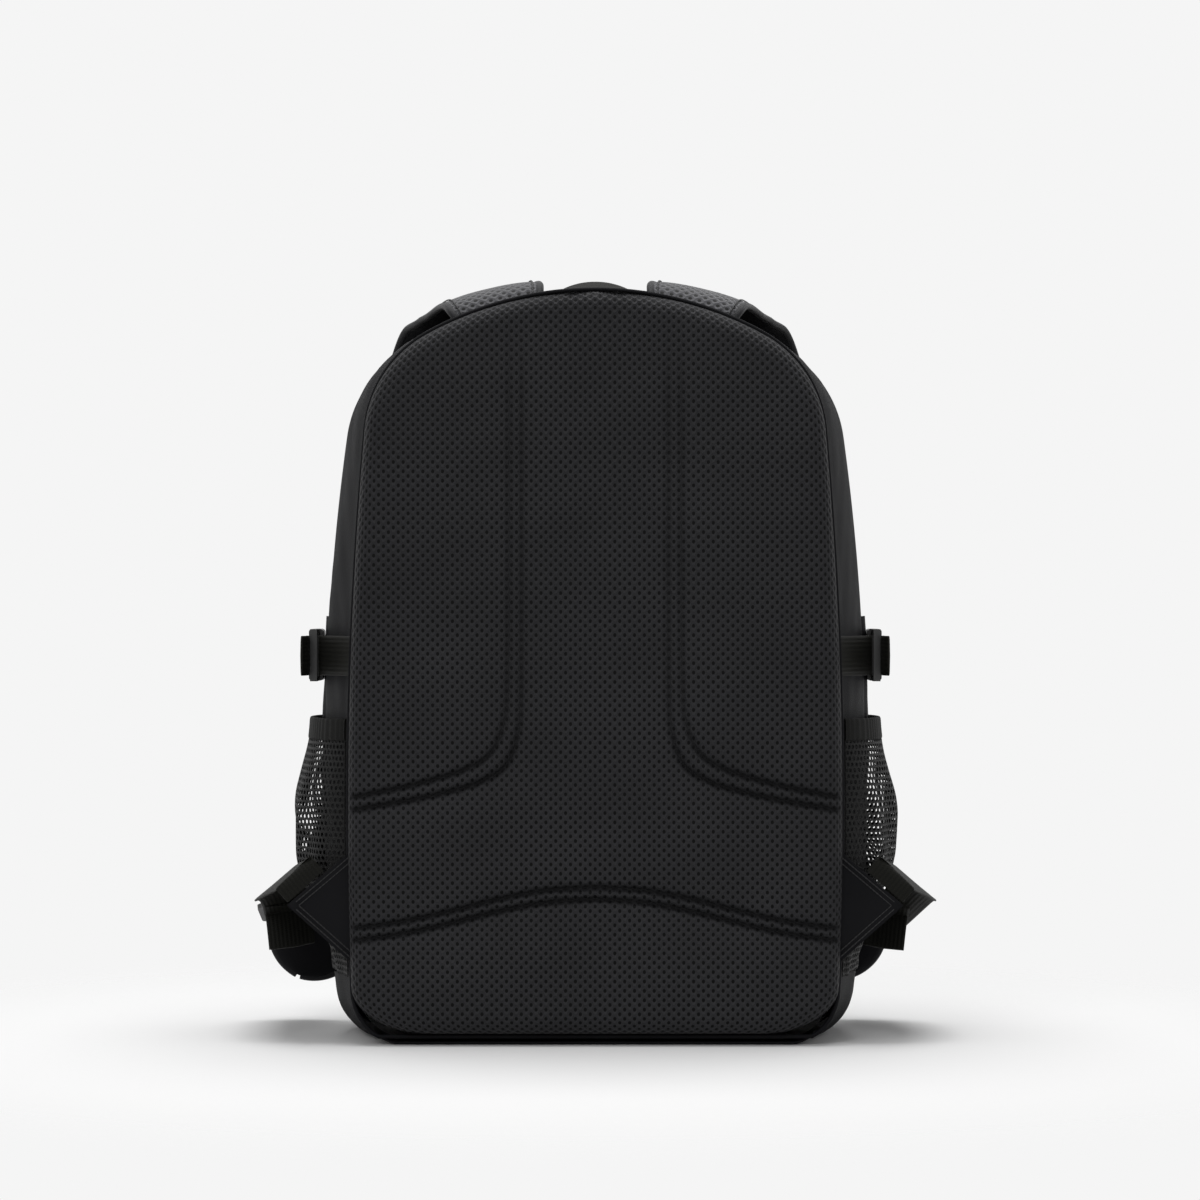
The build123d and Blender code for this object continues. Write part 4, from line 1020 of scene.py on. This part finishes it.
root = np.array((192, WING_Y / MM, 87)) - WING_EDGE * 16.5 + WING_OUT * 0.85
fold = root + WING_OUT * 11
lock_x = lock_frame()[0]
for side, sign in SIDES.items():
    turned = [root, root + WING_OUT * 4, root + WING_OUT * 8.5 + (0, 0.2, 0), fold + (0.4, 2.6, 0),
              fold + (1, 9, -1), (200, -32, 99)]
    stations = fixed_across(turned, WING_EDGE, 30)
    stations += [(205, -6, 94, 0.8, 0, -0.6, 30), (202 if sign < 0 else 203, 22, 88, 0.92, 0, -0.39, 30)]
    through = in_lock(side, ((-20, -3.4), (-13, -3.4), (-8.6, -2.7), (-5.4, 0.0), (-3.4, 2.6), (0, 3.4),
                             (3.0, 2.5), (4.6, 0), (4.8, -5), (5.2, -17), (6.4, -29.5)))
    stations += fixed_across(through, lock_x, 30)
    run, *_ = band(f"adjuster_webbing_{side}_weave", mirrored(stations, sign), 1.6, count=260)
    settle(run, webbing_weave, (f"strap_{side}", -65 * MM, -30 * MM), "webbing", f"adjuster_webbing_{side}")
    tab_x = 200 if sign < 0 else 188
    around_bar = in_lock(side, ((15, 3.6), (11, 3.4), (8.4, 2.2), (7.5, 0), (8.4, -2.2), (11, -3.4),
                                (15, -3.6)))
    loop = fixed_across([(tab_x, 80.2, 67.2), *around_bar, (tab_x, 80.2, 59.2)], lock_x, 30)
    tab, *_ = band(f"lock_loop_{side}_weave", mirrored(loop, sign), 1.5, count=110)
    settle(tab, webbing_weave, f"strap_{side}", "webbing", f"lock_tab_{side}")

# ---- Buckles and ladder locks -------------------------------------------------------------
# Injection-moulded acetal, fine satin texture with edges rubbed smoother and a little paler.



def worn_edges(tree, low, high, plain, rubbed):
    """Two colours mixed by how sharply the surface turns outwards, from low to high pointiness."""
    edge = add(tree, "NewGeometry")
    worn = add(tree, "MapRange", {"From Min": low, "From Max": high}, Value=edge.outputs["Pointiness"])
    tone = add(tree, "Mix", {"data_type": "RGBA", 6: linear(plain), 7: linear(rubbed)}, _0=worn.outputs[0])
    return tone.outputs[2]


def repaint(material, *names):
    """Gives a material to CAD pieces that are shown as they are."""
    for name in names:
        nodes[name].data.materials.clear()
        nodes[name].data.materials.append(material)


acetal, tree, place = new_material("moulded_black_acetal")
grit = add(tree, "TexNoise", {"Scale": 1400.0, "Detail": 2.0}, Vector=place.outputs["Object"])
swirl = add(tree, "TexNoise", {"Scale": 90.0, "Detail": 3.0}, Vector=place.outputs["Object"])
polish = add(tree, "MapRange", {"To Min": 0.30, "To Max": 0.48}, Value=swirl.outputs["Fac"])
bump = add(tree, "Bump", {"Strength": 0.25, "Distance": 0.0001}, Height=grit.outputs["Fac"])
principled(tree, {"IOR": 1.48}, Base_Color=worn_edges(tree, 0.50, 0.62, "171717", "303030"),
           Roughness=polish.outputs[0], Normal=bump.outputs[0])
for side in SIDES:
    repaint(acetal, f"buckle_male_{side}", f"buckle_female_{side}", f"ladder_lock_{side}")

# ---- Zip sliders and pull tabs ------------------------------------------------------------
# Die-cast zinc with black baked paint: glossy, faintly pitted, worn to grey at the edges.

painted_zinc, tree, place = new_material("black_painted_zinc")
pits = add(tree, "TexNoise", {"Scale": 500.0, "Detail": 3.0}, Vector=place.outputs["Object"])
gloss = add(tree, "MapRange", {"To Min": 0.22, "To Max": 0.38}, Value=pits.outputs["Fac"])
bump = add(tree, "Bump", {"Strength": 0.2, "Distance": 0.0001}, Height=pits.outputs["Fac"])
principled(tree, {"Specular IOR Level": 0.6}, Base_Color=worn_edges(tree, 0.54, 0.68, "151516", "4A4A4C"),
           Roughness=gloss.outputs[0], Normal=bump.outputs[0])
repaint(painted_zinc, "main_slider_left", "main_slider_right", "main_puller_left", "main_puller_right",
        "pocket_slider", "pocket_puller")

# ---- Inside the bag -----------------------------------------------------------------------
# Thin taffeta lining, a padded sleeve with a taped top edge, and a polyethylene stiffening sheet
# behind the back pad.

lining_cloth = woven("taffeta_lining", "2B2B2D", 0.7, 0.5, 0.05)
turn = np.linspace(-1, 1, 360)[:, None]
depth = np.linspace(-58 * MM, FRONT_Y - 3.2 * MM, 40)[None]
inner = on_bag(turn, depth, -0.0032 + ripple(on_bag(turn, depth), 91, 0.06, 0.0005))
lining = surface("lining_taffeta", inner, cloth_uv(inner), weld=True)
settle(lining, lining_cloth, "bag", "lining", "lining")
sewn(lining)
SLEEVE_HALF, SLEEVE_LOW, SLEEVE_HIGH, SLEEVE_Y = 119.5 * MM, 4.2 * MM, 303 * MM, -46 * MM
x, z = np.broadcast_arrays(np.linspace(-SLEEVE_HALF, SLEEVE_HALF, 90)[None],
                           np.linspace(SLEEVE_LOW, SLEEVE_HIGH, 110)[:, None])
rim = np.minimum(np.minimum(SLEEVE_HALF - np.abs(x), z - SLEEVE_LOW), SLEEVE_HIGH - z)
plump = 0.0023 * (1 - np.clip(1 - rim / 0.006, 0, 1) ** 2.5) ** 0.4
quilt = 0.0005 * np.abs(np.sin(x / 0.04 * np.pi) * np.sin(z / 0.04 * np.pi))
front_face = np.stack([x, SLEEVE_Y + plump - quilt * (plump > 0.001), z], -1)
back_face = np.stack([x, SLEEVE_Y - plump, z], -1)
skin = np.concatenate([front_face, back_face[::-1]])
sleeve = surface("inner_sleeve_padding", skin, cloth_uv(skin, True), closed=(True, False), weld=True)
settle(sleeve, lining_cloth, "bag", "lining", "inner_sleeve")
top_edge = fixed_across([(x, -46, 306) for x in (-120, -60, 0, 60, 120)], (0, 0, 1), 11.5)
tape, *_ = band("sleeve_top_tape", top_edge, 6.2, count=120, power=0.7)
settle(tape, elastic_knit, "bag", "elastic", "inner_sleeve_binding")
stiffener, tree, place = new_material("extruded_polyethylene_sheet")
streaks = add(tree, "Mapping", {"Scale": (400, 400, 20)}, Vector=place.outputs["Object"])
grain = add(tree, "TexNoise", {"Scale": 1.0, "Detail": 3.0}, Vector=streaks.outputs[0])
gloss = add(tree, "MapRange", {"To Min": 0.35, "To Max": 0.5}, Value=grain.outputs["Fac"])
principled(tree, {"Base Color": linear("2E2E2E"), "IOR": 1.51}, Roughness=gloss.outputs[0])
repaint(stiffener, "frame_sheet")
